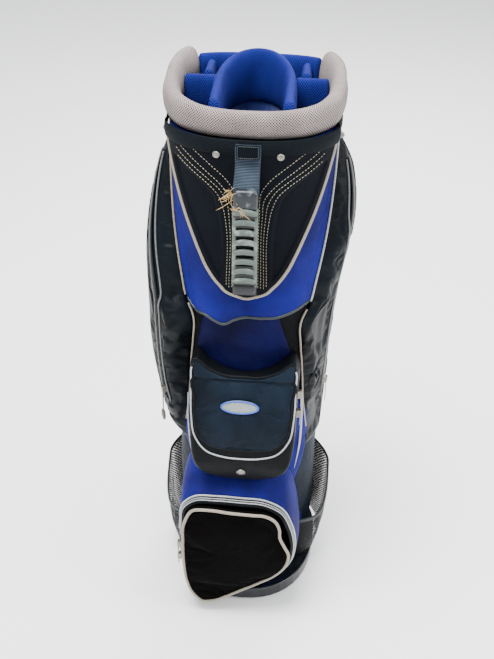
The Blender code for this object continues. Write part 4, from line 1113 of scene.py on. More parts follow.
def make_lower_field():
    """Between its two side edges, from low behind the ball pocket up behind the middle pocket; stuffed 2 to
    5 mm.
    """
    share, rise = np.meshgrid(np.linspace(-1, 1, 80), np.linspace(0, 1, 90))
    z = 0.060 + 0.355 * rise
    left, right = -flow(z, FIELD_HEIGHTS, FIELD_LEFT), flow(z, FIELD_HEIGHTS, FIELD_RIGHT)
    reach = (left + right) / 2 + share * (right - left) / 2
    swell = 0.0028 * (1 - share ** 6) + 0.0012 * np.sin(z * 70 + 1.5 * share)
    return closed_panel("lower_field", on_body(reach, z, 0.0046 + swell), on_body(reach, z, 0.0012),
                        blue_cloth)


show(make_lower_field(), "bag", ["lower_panel"])


def tapered_strip(name, heights, reaches, half_widths):
    """A flat silver strip on the blue field, narrowing to points at its ends."""
    z = np.linspace(heights[0], heights[-1], 90)
    width = np.clip(flow(z, heights, half_widths), 0.0003, 1)
    path = on_body(flow(z, heights, reaches), z, 0.0072)
    return swept_cord(name, path, width, silver_piping, flat=0.55, sides=10)


for side, word in ((-1, "left"), (1, "right")):
    share, rise = np.meshgrid(np.linspace(0, 1, 30), np.linspace(0, 1, 50))
    z = 0.055 + 0.252 * rise
    reach = side * (0.080 + 0.183 * share)
    swell = 0.0010 * np.sin(share * 14 + z * 40) * np.sin(share * math.pi)
    show(closed_panel(f"lower_side_cloth_{word}", on_body(reach, z, 0.0026 + swell),
                      on_body(reach, z, 0.0010),
                      slate_cloth), "bag")
strips = (("strip_right", (0.262, 0.309, 0.374, 0.430), (0.086, 0.093, 0.094, 0.092),
           (0.0004, 0.0022, 0.0026, 0.0014)),
          ("strip_left", (0.272, 0.300, 0.345, 0.406), (-0.092, -0.096, -0.100, -0.099),
           (0.0004, 0.0014, 0.0017, 0.0012)))
for name, heights, reaches, half_widths in strips:
    show(tapered_strip(name, heights, reaches, half_widths), "bag")

# ================================================================= middle pocket
# A boxy pocket with a curved lower edge. Its front slopes outwards down to a stuffed cloth flap that
# hangs on its upper edge, with piping and a zip round the other three sides.
def flap_plane(z):
    """Depth of the plane that the flap lies in: y = -0.143 less 0.223 for each metre below 0.515."""
    return -0.143 - (0.515 - z) * 0.223


def pocket_face(z):
    """Depth of the pocket's face: the flap's plane, then tucked in again below z 0.325."""
    return np.maximum(flap_plane(z), -0.183 + np.maximum(0, 0.325 - z) * 0.45)


def body_depth(x, gap=0.0):
    """Depth (y) of the body's front wall at a place across it, less a gap: the front superellipse."""
    return -FRONT_DEPTH * (1 - np.abs(x / HALF_WIDTH) ** FRONT_POWER) ** (1 / FRONT_POWER) - gap


def draw_in(outline, distance):
    """An outline (x, z) moved inwards along its normals, which come from the chord between its neighbours.
    """
    chord = np.roll(outline, -1, axis=0) - np.roll(outline, 1, axis=0)
    normal = np.stack([chord[:, 1], -chord[:, 0]], axis=1) / np.linalg.norm(chord, axis=1)[:, None]
    x, z = outline.T
    if (x * np.roll(z, -1) - np.roll(x, -1) * z).sum() < 0:
        normal = -normal
    return outline - normal * distance


def ring_at(outline, depth):
    """A ring of points from an outline (x, z) and a depth, or a depth for each point."""
    return np.stack([outline[:, 0], np.broadcast_to(depth, len(outline)), outline[:, 1]], axis=1)


POCKET_OUTLINE = ((0, 0.483), (0.028, 0.487), (0.055, 0.499), (0.076, 0.513), (0.0835, 0.500),
                  (0.0845, 0.460),
                  (0.0842, 0.410), (0.0835, 0.372), (0.077, 0.335), (0.061, 0.308), (0.034, 0.2945),
                  (0, 0.291),
                  (-0.034, 0.2945), (-0.061, 0.308), (-0.077, 0.335), (-0.0835, 0.372), (-0.0842, 0.410),
                  (-0.0845, 0.460), (-0.0835, 0.500), (-0.076, 0.513), (-0.055, 0.499), (-0.028, 0.487))
MOUTH_OUTLINE = ((0, 0.474), (0.030, 0.474), (0.060, 0.474), (0.066, 0.470), (0.0665, 0.440),
                 (0.066, 0.405),
                 (0.052, 0.380), (0.025, 0.376), (0, 0.376))


def mirrored(points):
    """A right half outline that starts and ends on the middle line, with its left half added."""
    points = np.asarray(points, float)
    return np.concatenate([points, points[-2:0:-1] * (-1, 1)])


def make_middle_pocket():
    """Rings from the body wall out over a rounded edge, across the face to the mouth, and back down inside.
    """
    outer = line_through(POCKET_OUTLINE, 160, loop=True)
    mouth = line_through(mirrored(MOUTH_OUTLINE), 160, loop=True)
    well = line_through(mirrored([(0, 0.474), (0.040, 0.474), (0.060, 0.470), (0.0635, 0.430),
                                  (0.056, 0.350),
                                  (0.030, 0.316), (0, 0.313)]), 160, loop=True)
    rings = [ring_at(draw_in(outer, 0.002), body_depth(outer[:, 0], 0.004))]
    for share in (0.25, 0.5, 0.75):
        base, front = body_depth(outer[:, 0], 0.004), pocket_face(outer[:, 1]) + 0.007
        rings.append(ring_at(draw_in(outer, -0.0012 * math.sin(share * math.pi)),
                             base + share * (front - base)))
    for turn in np.linspace(0, math.pi / 2, 6):
        inner = draw_in(outer, 0.007 * (1 - math.cos(turn)))
        rings.append(ring_at(inner, pocket_face(inner[:, 1]) + 0.007 * (1 - math.sin(turn))))
    for share in (0.2, 0.4, 0.6, 0.8, 0.95, 1.0):
        across = draw_in(outer, 0.007) * (1 - share) + mouth * share
        rings.append(ring_at(across, pocket_face(across[:, 1])))
    rings.append(ring_at(draw_in(mouth, 0.0006), pocket_face(mouth[:, 1]) + 0.0015))
    rings.append(ring_at(draw_in(mouth, -0.001), pocket_face(mouth[:, 1]) + 0.004))
    rings.append(ring_at(well, np.minimum(pocket_face(well[:, 1]) + 0.010, -0.128)))
    rings.append(ring_at(well, -0.1245))
    rings.append(ring_at(well * (0.5, 1), -0.1235))
    return turn_outwards(closed_tube("middle_pocket_box", np.stack(rings), black_cloth, flat=True))


show(make_middle_pocket(), "bag", ["middle_pocket_body"])
FLAP_OUTLINE = ((0, 0.4865), (0.040, 0.4868), (0.0700, 0.4868), (0.0778, 0.4845), (0.0772, 0.450),
                (0.0762, 0.420),
                (0.0700, 0.390), (0.0520, 0.3720), (0.0280, 0.3665), (0, 0.3655))


def pad_grid(outline, count):
    """Points (x, z) that fill an outline, on a square grid of count by count: each square ring of the grid
    is the outline drawn in towards its centre by that ring's share, and the share itself.
    """
    a, b = np.meshgrid(np.linspace(-1, 1, count), np.linspace(-1, 1, count))
    share = np.maximum(np.abs(a), np.abs(b))
    safe = np.maximum(share, 1e-9)
    a, b = a / safe, b / safe
    low_or_left = np.where(b <= -1 + 1e-9, 4 - a, 6 + b)
    place = np.where(b >= 1 - 1e-9, a, np.where(a >= 1 - 1e-9, 2 - b, low_or_left)) % 8
    closed = np.concatenate([outline, outline[:1]])
    lengths = np.linspace(0, 8, len(closed))
    rim = np.stack([np.interp(place, lengths, closed[:, k]) for k in (0, 1)], axis=-1)
    centre = outline.mean(axis=0)
    return centre + share[..., None] * (rim - centre), share


BADGE_X, BADGE_Z, BADGE_U, BADGE_V = -0.004, 0.4430, 0.0290, 0.0100


def make_flap():
    """A pad 3 mm thick at its top edge and 9 mm at its foot, its face rounded over at the edge."""
    outline = line_through(mirrored(FLAP_OUTLINE), 320, loop=True)
    grid, share = pad_grid(outline, 90)
    x, z = grid[..., 0], grid[..., 1]
    thick = 0.0032 + 0.0058 * ease((0.4865 - z) / 0.10)
    face = thick * (1 - share ** 7) ** 0.5
    back = flap_plane(z) - 0.0006
    front = np.stack([x, back - face, z], axis=-1)
    inner = np.stack([x, back, z], axis=-1)
    pad = closed_panel("middle_flap_pad", front, inner, slate_cloth)
    under_badge = ((x - BADGE_X) / (BADGE_U + 0.002)) ** 2 + ((z - BADGE_Z) / (BADGE_V + 0.002)) ** 2 < 1
    rim = np.concatenate([((share > 0.965) | under_badge).reshape(-1), np.ones((90 - 2) ** 2, bool)])
    return crumple(pad, rim, pressure=0.5, slack=0.035, steps=14, reach=0.0025)


show(make_flap(), "middle_flap", ["middle_pocket_flap"])
flap_edge = line_through(mirrored(FLAP_OUTLINE)[1:-1], 260)
piping_path = ring_at(draw_in(flap_edge, 0.0006), flap_plane(flap_edge[:, 1]) - 0.0018)
show(swept_cord("middle_flap_rolled_edge", piping_path[4:-4], 0.0026, black_cloth, outward=(0, -1, 0)),
     "middle_flap")
POCKET_PIPING_HALF = [(0, 0.500), (0.040, 0.500), (0.0790, 0.505), (0.0815, 0.470), (0.0810, 0.420),
                      (0.0755, 0.385), (0.0570, 0.3600), (0.0300, 0.3510), (0, 0.3490)]
pocket_line = line_through(mirrored(POCKET_PIPING_HALF), 320, loop=True)[46:-46]
show(swept_cord("middle_pocket_piping", ring_at(pocket_line, pocket_face(pocket_line[:, 1]) - 0.0008),
                0.0014,
                silver_piping, outward=(0, -1, 0)), "bag")
DIP_REACH = (-0.080, -0.076, -0.055, -0.028, 0, 0.028, 0.055, 0.076, 0.080)
DIP_HEIGHT = (0.5125, 0.513, 0.499, 0.4885, 0.4878, 0.4885, 0.499, 0.513, 0.5125)


def make_brow():
    """The cloth above the flap's hinge, up to the pocket's dipped upper edge: nothing in the middle, 26 mm
    tall at the corners; it rolls back over the edge by a quarter circle.
    """
    share, rise = np.meshgrid(np.linspace(-1, 1, 70), np.linspace(0, 1, 24))
    x = share * 0.0790
    z = 0.4866 + rise * (flow(x, DIP_REACH, DIP_HEIGHT) - 0.4866)
    edge = np.maximum(rise, np.abs(share) ** 6)
    front = flap_plane(z) - 0.0046 + 0.0030 * edge ** 4
    return closed_panel("middle_pocket_brow", np.stack([x, front, z], -1),
                        np.stack([x, flap_plane(z) + 0.0002, z], -1), slate_cloth)


show(make_brow(), "bag")
dip_x = np.linspace(-0.080, 0.080, 120)
dip_path = np.stack([dip_x, flap_plane(flow(dip_x, DIP_REACH, DIP_HEIGHT)) + 0.0005,
                     flow(dip_x, DIP_REACH, DIP_HEIGHT) + 0.0012], axis=-1)
show(swept_cord("middle_pocket_top_binding", dip_path, 0.0030, black_cloth, outward=(0, -1, 0)), "bag")

silver_thread = twisted_thread("silver_embroidery", "#99A09C", "#666C69")
blue_thread = twisted_thread("blue_embroidery", "#2A55C4", "#183888")


def disc_rings(centre_x, centre_z, half_u, half_v, heights, sizes, depth):
    """Rings of an oval button that faces forwards: its size and its height above a sloping depth, ring by
    ring.
    """
    turn = np.linspace(0, 2 * math.pi, 72, endpoint=False)
    size = np.asarray(sizes)[:, None]
    x = centre_x + half_u * size * np.cos(turn)
    z = centre_z + half_v * size * np.sin(turn)
    return np.stack([x, depth(z) - np.asarray(heights)[:, None], z], axis=-1)


badge = closed_tube("flap_badge", disc_rings(BADGE_X, BADGE_Z, BADGE_U, BADGE_V,
                                             (0.004, 0.0079, 0.0086, 0.0089),
                                             (1.0, 1.0, 0.90, 0.50), flap_plane), silver_thread, flat=True)
show(turn_outwards(badge), "middle_flap")
border = disc_rings(BADGE_X, BADGE_Z, BADGE_U, BADGE_V, (0.0082,), (1.0,), flap_plane)[0]
show(swept_cord("flap_badge_border", border, 0.0014, blue_thread, loop=True, outward=(0, -1, 0)),
     "middle_flap")
SNAP_LIFTS = (-0.002, 0.0012, 0.0022, 0.0018, 0.0032, 0.0036)
SNAP_SIZES = (1.0, 1.0, 0.80, 0.62, 0.48, 0.20)
snap_rings = disc_rings(0.0, 0.3205, 0.0075, 0.0075, SNAP_LIFTS, SNAP_SIZES, pocket_face)
snap = closed_tube("pocket_snap", snap_rings, aged_zinc)
show(turn_outwards(snap), "bag")

# ================================================================= ball pocket
# The big lower pocket: a blue padded shoulder on the body, a black gusset with a piped zip all round,
# and a soft black front that hangs on its lowest edge and is edged in thick piping.
GUSSET_EDGE = -0.1780
BALL_FRONT_OUTLINE = ((-0.0790, 0.2480), (-0.0500, 0.2515), (-0.0150, 0.2480), (0.0200, 0.2465),
                      (0.0450, 0.2450),
                      (0.0620, 0.2340), (0.0700, 0.2150), (0.0715, 0.1960), (0.0790, 0.1770),
                      (0.0870, 0.1580),
                      (0.0830, 0.1280), (0.0650, 0.1020), (0.0350, 0.0780), (0.0050, 0.0570),
                      (-0.0220, 0.0380),
                      (-0.0450, 0.0250), (-0.0640, 0.0230), (-0.0820, 0.0420), (-0.0930, 0.0750),
                      (-0.0980, 0.1200),
                      (-0.0985, 0.1700), (-0.0950, 0.2170))
ball_front_line = line_through(BALL_FRONT_OUTLINE, 320, loop=True)
BALL_OUTLINE = ((-0.078, 0.2560), (-0.040, 0.2600), (0.000, 0.2590), (0.042, 0.2560), (0.0700, 0.2400),
                (0.0850, 0.2100), (0.0930, 0.1750), (0.0930, 0.1450), (0.0860, 0.1170), (0.0500, 0.0830),
                (0.0100, 0.0560), (-0.0280, 0.0330), (-0.0600, 0.0250), (-0.0860, 0.0430),
                (-0.0990, 0.0850),
                (-0.1020, 0.1400), (-0.1010, 0.2000), (-0.0950, 0.2400))
ball_line = line_through(BALL_OUTLINE, 320, loop=True)


def over_base(ring):
    """Keeps a ring clear of the base's ledge: never lower than 29 mm where it is further back than 172 mm.
    """
    ring[:, 2] = np.where(ring[:, 1] > -0.172, np.maximum(ring[:, 2], 0.0292), ring[:, 2])
    return ring


def make_ball_box():
    """Rings from the body wall forwards over the gusset to the seam, then back inside to a floor near the
    body.
    """
    wall = body_depth(np.clip(ball_line[:, 0], -0.112, 0.112), 0.0045)
    rings = [over_base(ring_at(draw_in(ball_line, 0.001), wall))]
    for share in (0.25, 0.5, 0.75, 0.95):
        bulge = 0.0035 * math.sin(share * math.pi)
        rings.append(over_base(ring_at(draw_in(ball_line, -bulge), wall + share * (GUSSET_EDGE - wall))))
    for depth, inset in ((GUSSET_EDGE - 0.004, 0.0005), (-0.1865, 0.0022), (-0.1893, 0.0045),
                         (-0.1900, 0.0065),
                         (-0.1885, 0.0085), (-0.1830, 0.0090)):
        rings.append(over_base(ring_at(draw_in(ball_line, inset), depth)))
    inside = ball_line + (np.array((-0.005, 0.140)) - ball_line) * 0.09
    for share in (0.0, 0.5, 1.0):
        rings.append(over_base(ring_at(inside, -0.176 + share * (body_depth(inside[:, 0], 0.0065)
                                                                 + 0.176))))
    rings.append(ring_at(inside * 0.6 + np.array((-0.005, 0.140)) * 0.4, -0.1215))
    return turn_outwards(closed_tube("ball_pocket_box", np.stack(rings), black_cloth))


show(make_ball_box(), "bag", ["ball_pocket_body"])


SHOULDER_SPAN = (292, 442)          # points of the outline, taken twice round, that the band follows


def make_shoulder():
    """A padded blue band from the body to the gusset's piping, over the top and down the right: across it,
    a low arch 1.6 mm thick whose foot spreads up to 34 mm up the body over the pocket.
    """
    start, end = SHOULDER_SPAN
    rim = np.concatenate([ball_line, ball_line])[start:end]
    front = draw_in(np.concatenate([ball_line, ball_line]), -0.0022)[start:end]
    rise = ease((rim[:, 1] - 0.150) / 0.10)[:, None]
    foot = rim + (0, 0.036) * rise + (0.002, 0) * (rim[:, :1] > 0)
    foot_depth = body_depth(np.clip(foot[:, 0], -0.114, 0.114), 0.0070)
    low = np.stack([foot[:, 0], foot_depth, foot[:, 1]], axis=-1)
    high = np.stack([front[:, 0], np.full(len(front), GUSSET_EDGE + 0.001), front[:, 1]], axis=-1)
    share = np.linspace(0, 1, 10)[None, :, None]
    arch = np.sin(share * math.pi) * 0.006
    out = np.stack([rim[:, 0] * 0.4, np.full(len(rim), -0.02), rim[:, 1] - 0.14], axis=-1)
    out /= np.linalg.norm(out, axis=1)[:, None]
    skin = low[:, None] + share * (high - low)[:, None] + arch * out[:, None]
    rings = np.concatenate([skin, (skin - 0.0016 * out[:, None])[:, ::-1]], axis=1)
    return turn_outwards(closed_tube("ball_shoulder", rings, blue_cloth))


show(refine(make_shoulder()), "bag")
for name, inset, depth, radius, span in (
        ("ball_gusset_piping", -0.0012, GUSSET_EDGE, 0.0018, (283, 500)),
        ("ball_zip_tape_back", 0.0004, GUSSET_EDGE - 0.0048, 0.0009, (280, 505)),
        ("ball_zip_tape_front", 0.0014, GUSSET_EDGE - 0.0086, 0.0009, (280, 505))):
    twice_round = np.concatenate([draw_in(ball_line, inset)] * 2)
    ring = over_base(ring_at(twice_round[slice(*span)], depth))
    show(swept_cord(name, ring, radius, silver_piping, outward=(0, -1, 0)), "bag")


matt_black = pack_cloth("matt_black_pack_cloth", "#060505", "#030202", roughness=0.9, crease=0.5,
                        dust="#241F1B", specular=0.04)


def make_ball_front():
    """A pad whose face swells from 8 mm at its rolled edge to 15 mm in the middle; sewn along its border.
    """
    grid, share = pad_grid(draw_in(ball_front_line, 0.0008), 110)
    x, z = grid[..., 0], grid[..., 1]
    edge = np.clip((1 - share) / 0.10, 0, 1)
    face = 0.0085 * np.sqrt(1 - (1 - edge) ** 2) + 0.0065 * (1 - share ** 2)
    front = np.stack([x, -0.1915 - face, z], axis=-1)
    pad = closed_panel("ball_front_pad", front, np.stack([x, -0.1912 + 0 * x, z], axis=-1), matt_black)
    rim = np.concatenate([(share > 0.93).reshape(-1), np.ones((110 - 2) ** 2, bool)])
    return crumple(pad, rim, pressure=0.35, slack=0.035, steps=16, reach=0.005)


show(make_ball_front(), "ball_front", ["ball_pocket_front"])
front_path = ring_at(draw_in(ball_front_line, 0.0030), -0.1995)
show(swept_cord("ball_front_piping", front_path, 0.0027, champagne_piping, loop=True, sides=12,
                outward=(0, -1, 0)),
     "ball_front")

# ================================================================= garment pockets
# Tall stuffed pockets down both sides in shiny black polyester, full at the hip and flat under the
# collar, with a zip down the front of each and piping along the rear seam.
POCKET_HEIGHTS = (0.300, 0.330, 0.400, 0.605, 0.660, 0.720, 0.780, 0.830, 0.855)
LEFT_DEPTHS = (0.004, 0.021, 0.033, 0.043, 0.042, 0.036, 0.025, 0.010, 0.004)
RIGHT_DEPTHS = (0.004, 0.005, 0.008, 0.022, 0.030, 0.035, 0.028, 0.012, 0.004)
POCKET_REAR = 0.262


def zip_reach(side, z):
    """How far round the body the zip lies at a height: straight at the hip, then 18 mm behind the front
    seam. The right one lies further back, on the crest of the pocket.
    """
    hip = 0.120 if side < 0 else 0.158
    behind = seam_reach(z) + 0.0215 - hip
    return hip + (behind + np.hypot(behind, 0.004)) / 2


def pocket_place(side, share, z):
    """Share runs from the front seam to the rear one. The section across is a sine arch, steeper in front
    than behind; long upright folds run down it, deepest at the hip and none on the zip.
    """
    first = seam_reach(z) + 0.0035
    width = POCKET_REAR - first
    depth = flow(z, POCKET_HEIGHTS, LEFT_DEPTHS if side < 0 else RIGHT_DEPTHS)
    behind = first + share * width - zip_reach(side, z)
    inside = np.minimum(share * width / 0.020, (1 - share) * width / 0.045)
    arch = np.sin(np.clip(inside, 0, 1) * math.pi / 2)
    fold = (np.sin(34 * share + 8 * z + side) * (0.6 + 0.4 * np.sin(13 * z + 3 * share)) * 0.0017
            + np.sin(62 * share - 24 * z) * 0.0006) * arch * np.clip(depth / 0.03, 0, 1)
    flat = 1 - np.exp(-(behind / 0.011) ** 2)
    return on_body(side * (first + share * width), z, 0.0032 + (depth - 0.003) * arch + fold * flat)


shiny_cloth = pack_cloth("shiny_black_polyester", "#030D15", "#010306", roughness=0.38, crease=0.35,
                         specular=0.12, fold=11.0)


def make_garment_pocket(side, word):
    """Its cloth is sewn down at the border and along the zip, and settles in between."""
    share, rise = np.meshgrid(np.linspace(0, 1, 80), np.linspace(0, 1, 190))
    z = 0.3005 + rise * (0.8545 - 0.3005)
    front = pocket_place(side, share, z)
    first = seam_reach(z) + 0.0035
    back = on_body(side * (first + share * (POCKET_REAR - first)), z, 0.0022)
    pad = closed_panel(f"garment_pocket_cloth_{word}", front, back, shiny_cloth)
    border = (share < 0.012) | (share > 0.988) | (rise < 0.006) | (rise > 0.994)
    zipped = np.abs(first + share * (POCKET_REAR - first) - zip_reach(side, z)) < 0.0095
    zipped &= (z > 0.375) & (z < 0.810)
    held = np.concatenate([(border | zipped).reshape(-1), np.ones(78 * 188, bool)])
    return crumple(pad, held, pressure=0.15, slack=0.04, steps=16, reach=0.0045)


for side, word in ((-1, "left"), (1, "right")):
    show(make_garment_pocket(side, word), "bag", [f"garment_pocket_{word}"])
    z = np.linspace(0.832, 0.310, 160)
    rear = on_body(side * (POCKET_REAR + 0.001), z, 0.0062)
    show(swept_cord(f"rear_seam_piping_{word}", rear, 0.0018, silver_piping), "bag")

dull_tape = soft_vinyl("dull_grey_zip_piping", "#6E706E", "#36383A", roughness=0.5)
zip_teeth = twisted_thread("black_nylon_coil", "#15191D", "#090B0D")


def zip_line(side, z, shift, lift):
    """A line down a garment pocket's cloth, this far behind its zip's middle and this far above the cloth.
    """
    first = seam_reach(z) + 0.0035
    reach = zip_reach(side, z) + shift
    across = (reach - first) / (POCKET_REAR - first)
    return pocket_place(side, across, z) + lift * pocket_normal(side, reach, z)


def pocket_normal(side, reach, z):
    """The body's outward direction at a place round it, level with the ground."""
    way = on_body(side * reach, z, 1.0) - on_body(side * reach, z, 0.0)
    return way / np.linalg.norm(way, axis=-1, keepdims=True)


for side, word in ((-1, "left"), (1, "right")):
    z = np.linspace(0.800, 0.385, 220)
    for part, shift in (("front", -0.0065), ("rear", 0.0065)):
        show(swept_cord(f"garment_zip_{part}_piping_{word}", zip_line(side, z, shift, 0.0012), 0.0015,
                        dull_tape),
             "bag")
    coil = zip_line(side, z, 0.0, 0.0010)
    show(add_stitches(f"garment_zip_teeth_{word}", [coil + (0, 0.0008, 0), coil - (0, 0.0008, 0)],
                      zip_teeth,
                      pitch=0.0024, length=0.0021, radius=0.0009), "bag")
    bead = zip_line(side, z, 0.0, -0.0004)
    show(swept_cord(f"garment_zip_tape_{word}", bead, 0.0052, black_cloth, flat=0.25), "bag")

brown_leather = moulded_plastic("dark_brown_leather", "#6E6252", "#2E2A26", roughness=0.55, grain=1400.0,
                                scratch=0.6)
PULL_HINGE = np.array((-0.1393, -0.0869, 0.4097))
PULL_DOWN = np.array((0.0, 0.0, -1.0))
PULL_ACROSS = np.array((0.4968, -0.8678, 0.0))


def make_pull_tab():
    """An oval of leather 22 mm tall, 15 mm wide and 3 mm thick, hanging from the left pull's ring."""
    turn = np.linspace(0, 2 * math.pi, 48, endpoint=False)
    size = np.array([0.3, 0.85, 1.0, 1.0, 0.85, 0.3])[:, None]
    depth = np.array([-0.0016, -0.0016, -0.0008, 0.0008, 0.0016, 0.0016])[:, None]
    out = np.cross(PULL_DOWN, PULL_ACROSS)
    rings = (PULL_HINGE + 0.0545 * PULL_DOWN + depth[..., None] * out
             + 0.0075 * (size * np.cos(turn))[..., None] * PULL_ACROSS
             + 0.0110 * (size * np.sin(turn))[..., None] * PULL_DOWN)
    return turn_outwards(closed_tube("garment_pull_tab", rings, brown_leather))


show(make_pull_tab(), "garment_zip_left_pull")
port_turn = np.linspace(0, 2 * math.pi, 120, endpoint=False)
for name, wide, tall, radius, finish in (("port_seam", 0.0125, 0.0190, 0.0010, black_cloth),
                                         ("port_rim", 0.0030, 0.0095, 0.0012, rib_webbing)):
    z = 0.440 + tall * np.sin(port_turn)
    reach = 0.1175 + wide * np.cos(port_turn)
    first = seam_reach(z) + 0.0035
    ring = pocket_place(1, (reach - first) / (POCKET_REAR - first), z) + 0.0012 * pocket_normal(1, reach, z)
    show(swept_cord(name, ring, radius, finish, loop=True), "bag")


def tooth_rows(name, outline, depth, start, end):
    """The nylon coil of a pocket's zip: two rows of short teeth side by side along a part of an outline."""
    ring = ring_at(np.concatenate([outline] * 2)[start:end], depth)
    return add_stitches(name, [ring + (0, 0.0009, 0), ring - (0, 0.0009, 0)], zip_teeth, pitch=0.0024,
                        length=0.0021,
                        radius=0.0009)


show(tooth_rows("ball_zip_teeth", draw_in(ball_line, 0.0008), GUSSET_EDGE - 0.0067, 280, 505), "bag")
show(add_stitches("middle_zip_teeth", [ring_at(pocket_line, pocket_face(pocket_line[:, 1]) + 0.0030)
                                       * (1.012, 1, 1)],
                  zip_teeth, pitch=0.0024, length=0.0021, radius=0.0009), "bag")

# ================================================================= rear side strips
# Narrow strips of the blue cloth down each rear corner, between the garment pockets and the back.
for side, word in ((-1, "left"), (1, "right")):
    share, rise = np.meshgrid(np.linspace(0, 1, 14), np.linspace(0, 1, 90))
    z = 0.060 + 0.785 * rise
    reach = side * (0.2635 + 0.0415 * share)
    swell = 0.0012 * np.sin(share * math.pi)
    show(closed_panel(f"rear_side_strip_{word}", on_body(reach, z, 0.0030 + swell),
                      on_body(reach, z, 0.0012),
                      blue_cloth), "bag")

# ================================================================= bottle pockets
# Open pockets of black mesh low on both sides. A band of dark elastic gathers the sloping rim; the cloth
# is stuffed out by nothing, so it folds a little towards its foot.
BOTTLE_MESH_THICK = 0.0012


def open_mesh(name, yarn, pitch=0.0042):
    """Open warp-knit mesh: round holes 4.2 mm apart that let light through, in a satin black yarn."""
    made, tree, shader = new_finish(name, roughness=0.5, specular=0.2)
    shader.inputs["Base Color"].default_value = srgb(yarn)
    cloth = add_node(tree, "ShaderNodeUVMap", uv_map="cloth")
    axes = add_node(tree, "ShaderNodeSeparateXYZ", {0: cloth.outputs["UV"]})
    waves = [repeat_wave(tree, axes.outputs[k], pitch * (1 + 0.25 * k)) for k in (0, 1)]
    holes = add_node(tree, "ShaderNodeMath", {0: waves[0], 1: waves[1]}, operation="MULTIPLY").outputs[0]
    solid = add_node(tree, "ShaderNodeMapRange", {"Value": holes, "From Min": 0.42, "From Max": 0.30})
    bump = add_node(tree, "ShaderNodeBump", {"Height": holes, "Strength": 0.7, "Distance": 0.0010},
                    invert=True)
    tree.links.new(solid.outputs[0], shader.inputs["Alpha"])
    tree.links.new(bump.outputs[0], shader.inputs["Normal"])
    return made


bottle_mesh = open_mesh("open_black_mesh", "#07090D")
RIM_DEPTHS, RIM_LEVELS = (-0.14, -0.08, -0.02, 0.05, 0.10), (0.110, 0.124, 0.150, 0.196, 0.245)


def bottle_place(side, share, rise):
    """Share runs round the body from the front seam to the rear one, rise from the foot to the sloping rim.
    """
    reach = side * (0.1045 + 0.1420 * share)
    y = on_body(reach, 0, 0.02)[..., 1]
    rim = flow(y, RIM_DEPTHS, RIM_LEVELS)
    z = 0.0300 + rise * (rim - 0.0300)
    ease_in = np.sin(np.clip(np.minimum(share, 1 - share) / 0.25, 0, 1) * math.pi / 2)
    level = flow(z, (0.030, 0.080, 0.160, 0.250), (0.013, 0.0245, 0.0295, 0.0270))
    fold = 0.0012 * np.sin(share * 26 + 30 * z) * (1 - rise) * ease_in
    return on_body(reach, z, 0.0030 + (level - 0.0015) * ease_in + fold)


for side, word in ((-1, "left"), (1, "right")):
    share, rise = np.meshgrid(np.linspace(0, 1, 90), np.linspace(0, 1, 60))
    front = bottle_place(side, share, rise)
    towards_axis = front * (1, 1, 0) / np.linalg.norm(front[..., :2], axis=-1)[..., None]
    inward = front - towards_axis * BOTTLE_MESH_THICK
    show(closed_panel(f"bottle_mesh_{word}", front, inward, bottle_mesh), "bag",
         [f"bottle_pocket_{word}"])
    rim_path = bottle_place(side, np.linspace(0, 1, 110), np.full(110, 0.985))
    show(swept_cord(f"bottle_rim_{word}", rim_path, 0.0052, teal_binding, flat=0.36), "bag")

# ================================================================= base
# The moulded polypropylene foot: a black tray with a glossy worn edge and a ledge in front.
base_plastic = moulded_plastic("black_polypropylene", "#2A3646", "#06080B", roughness=0.30, scratch=0.35)
paint_node("base_tray", base_plastic)
edge_turn = np.linspace(0, 2 * math.pi, 240, endpoint=False)
c, s = np.cos(edge_turn), np.sin(edge_turn)
edge_depth = np.where(s < 0, 0.1665, 0.1085)
edge_path = np.stack([np.sign(c) * np.abs(c) ** (2 / 2.4) * 0.1268, np.sign(s) * np.abs(s) ** (2 / 2.4)
                      * edge_depth,
                      np.full(240, 0.0262)], axis=-1)
show(swept_cord("base_rolled_edge", edge_path, 0.0024, base_plastic, loop=True), "bag")

# ================================================================= back
# A quilted pad that rests against the carrier, a webbing handle above it, and two steel rings for a
# strap, each hung in a stitched webbing tab.
quilt_mesh = spacer_mesh("quilted_black_mesh", "#0E141C", "#080C12", "#010204")


def make_back_pad():
    """A pad 8 mm thick with a diamond quilt: the seams sink 3.5 mm where height plus or minus reach comes
    round every 60 mm.
    """
    share, rise = np.meshgrid(np.linspace(-1, 1, 100), np.linspace(0, 1, 240))
    reach, z = share * 0.0750, 0.121 + 0.598 * rise
    one, other = np.cos((z + reach * 1.2) * math.pi / 0.060), np.cos((z - reach * 1.2) * math.pi / 0.060)
    seams = np.exp(-(one / 0.16) ** 2) + np.exp(-(other / 0.16) ** 2)
    border = np.minimum((1 - np.abs(share)) * 0.0750, np.minimum(rise, 1 - rise) * 0.598)
    edge = np.sqrt(1 - (1 - np.clip(border / 0.008, 0, 1)) ** 2)
    face = 0.0026 + edge * (0.0075 - 0.0034 * np.clip(seams, 0, 1))
    return closed_panel("back_cushion", on_body(HALF_GIRTH + reach, z, face),
                        on_body(HALF_GIRTH + reach, z, 0.0012),
                        quilt_mesh)


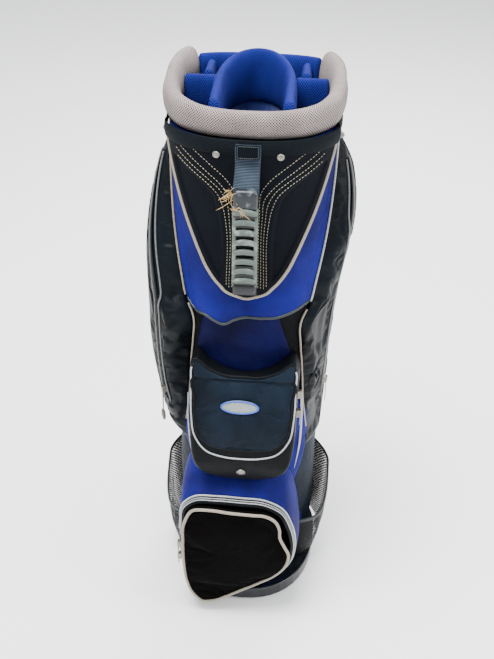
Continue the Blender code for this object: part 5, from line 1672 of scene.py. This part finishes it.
show(make_back_pad(), "bag", ["back_pad"])
u = np.concatenate([np.linspace(-0.075, 0.075, 90), np.full(60, 0.075), np.linspace(0.075, -0.075, 90),
                    np.full(60, -0.075)])
v = np.concatenate([np.full(90, 0.721), np.linspace(0.721, 0.119, 60), np.full(90, 0.119),
                    np.linspace(0.119, 0.721, 60)])
frame_line = line_through(np.stack([u, v], axis=1)[::10], 300, loop=True)
show(swept_cord("back_cushion_binding", on_body(HALF_GIRTH + frame_line[:, 0], frame_line[:, 1], 0.0040),
                0.0024,
                teal_binding, loop=True), "bag")
black_webbing = ribbed_webbing("black_webbing", "#10161D", "#05070A", rib=0.0020)


def make_handle():
    """A strap 30 mm tall that leaves the body at both ends and stands off 24 mm between, padded in its
    middle.
    """
    share = np.linspace(-1, 1, 90)
    x = 0.0625 * share
    y = 0.1030 + 0.0185 * (1 - np.abs(share) ** 3.2)
    u, v = superellipse(28, 1.0, 1.0, 3.0)
    pad = ease((0.62 - np.abs(share)) / 0.12)
    thick, tall = 0.0018 + 0.0022 * pad, 0.0135 + 0.0016 * pad
    rings = np.stack([np.repeat(x[:, None], 28, 1), y[:, None] + thick[:, None] * u,
                      0.797 + tall[:, None] * v], axis=-1)
    return turn_outwards(closed_tube("rear_grab_handle", rings, black_webbing))


show(make_handle(), "bag", ["rear_handle"])
for side, word in ((-1, "left"), (1, "right")):
    u, v = superellipse(28, 0.0110, 0.0165, 6.0)
    depth = np.array([0.1000, 0.1060, 0.1072, 0.1076])
    size = np.array([1.0, 1.0, 0.96, 0.6])
    rings = np.stack([side * 0.056 + size[:, None] * u, np.repeat(depth[:, None], 28, 1),
                      0.797 + size[:, None] * v], -1)
    show(turn_outwards(closed_tube(f"handle_patch_{word}", rings, black_webbing, flat=True)), "bag")

for word, z0 in (("upper", 0.660), ("lower", 0.300)):
    u, v = superellipse(36, 0.0130, 0.0185, 6.0)
    depth = np.array([0.1060, 0.1094, 0.1150, 0.1168, 0.1173, 0.1174])
    size = np.array([0.9, 1.0, 1.0, 0.97, 0.90, 0.5])
    rings = np.stack([size[:, None] * u, np.repeat(depth[:, None], 36, 1), z0 + 0.0115 + size[:, None] * v],
                     axis=-1)
    show(turn_outwards(closed_tube(f"ring_tab_web_{word}", rings, black_webbing, flat=True)), "bag",
         [f"ring_tab_{word}"])
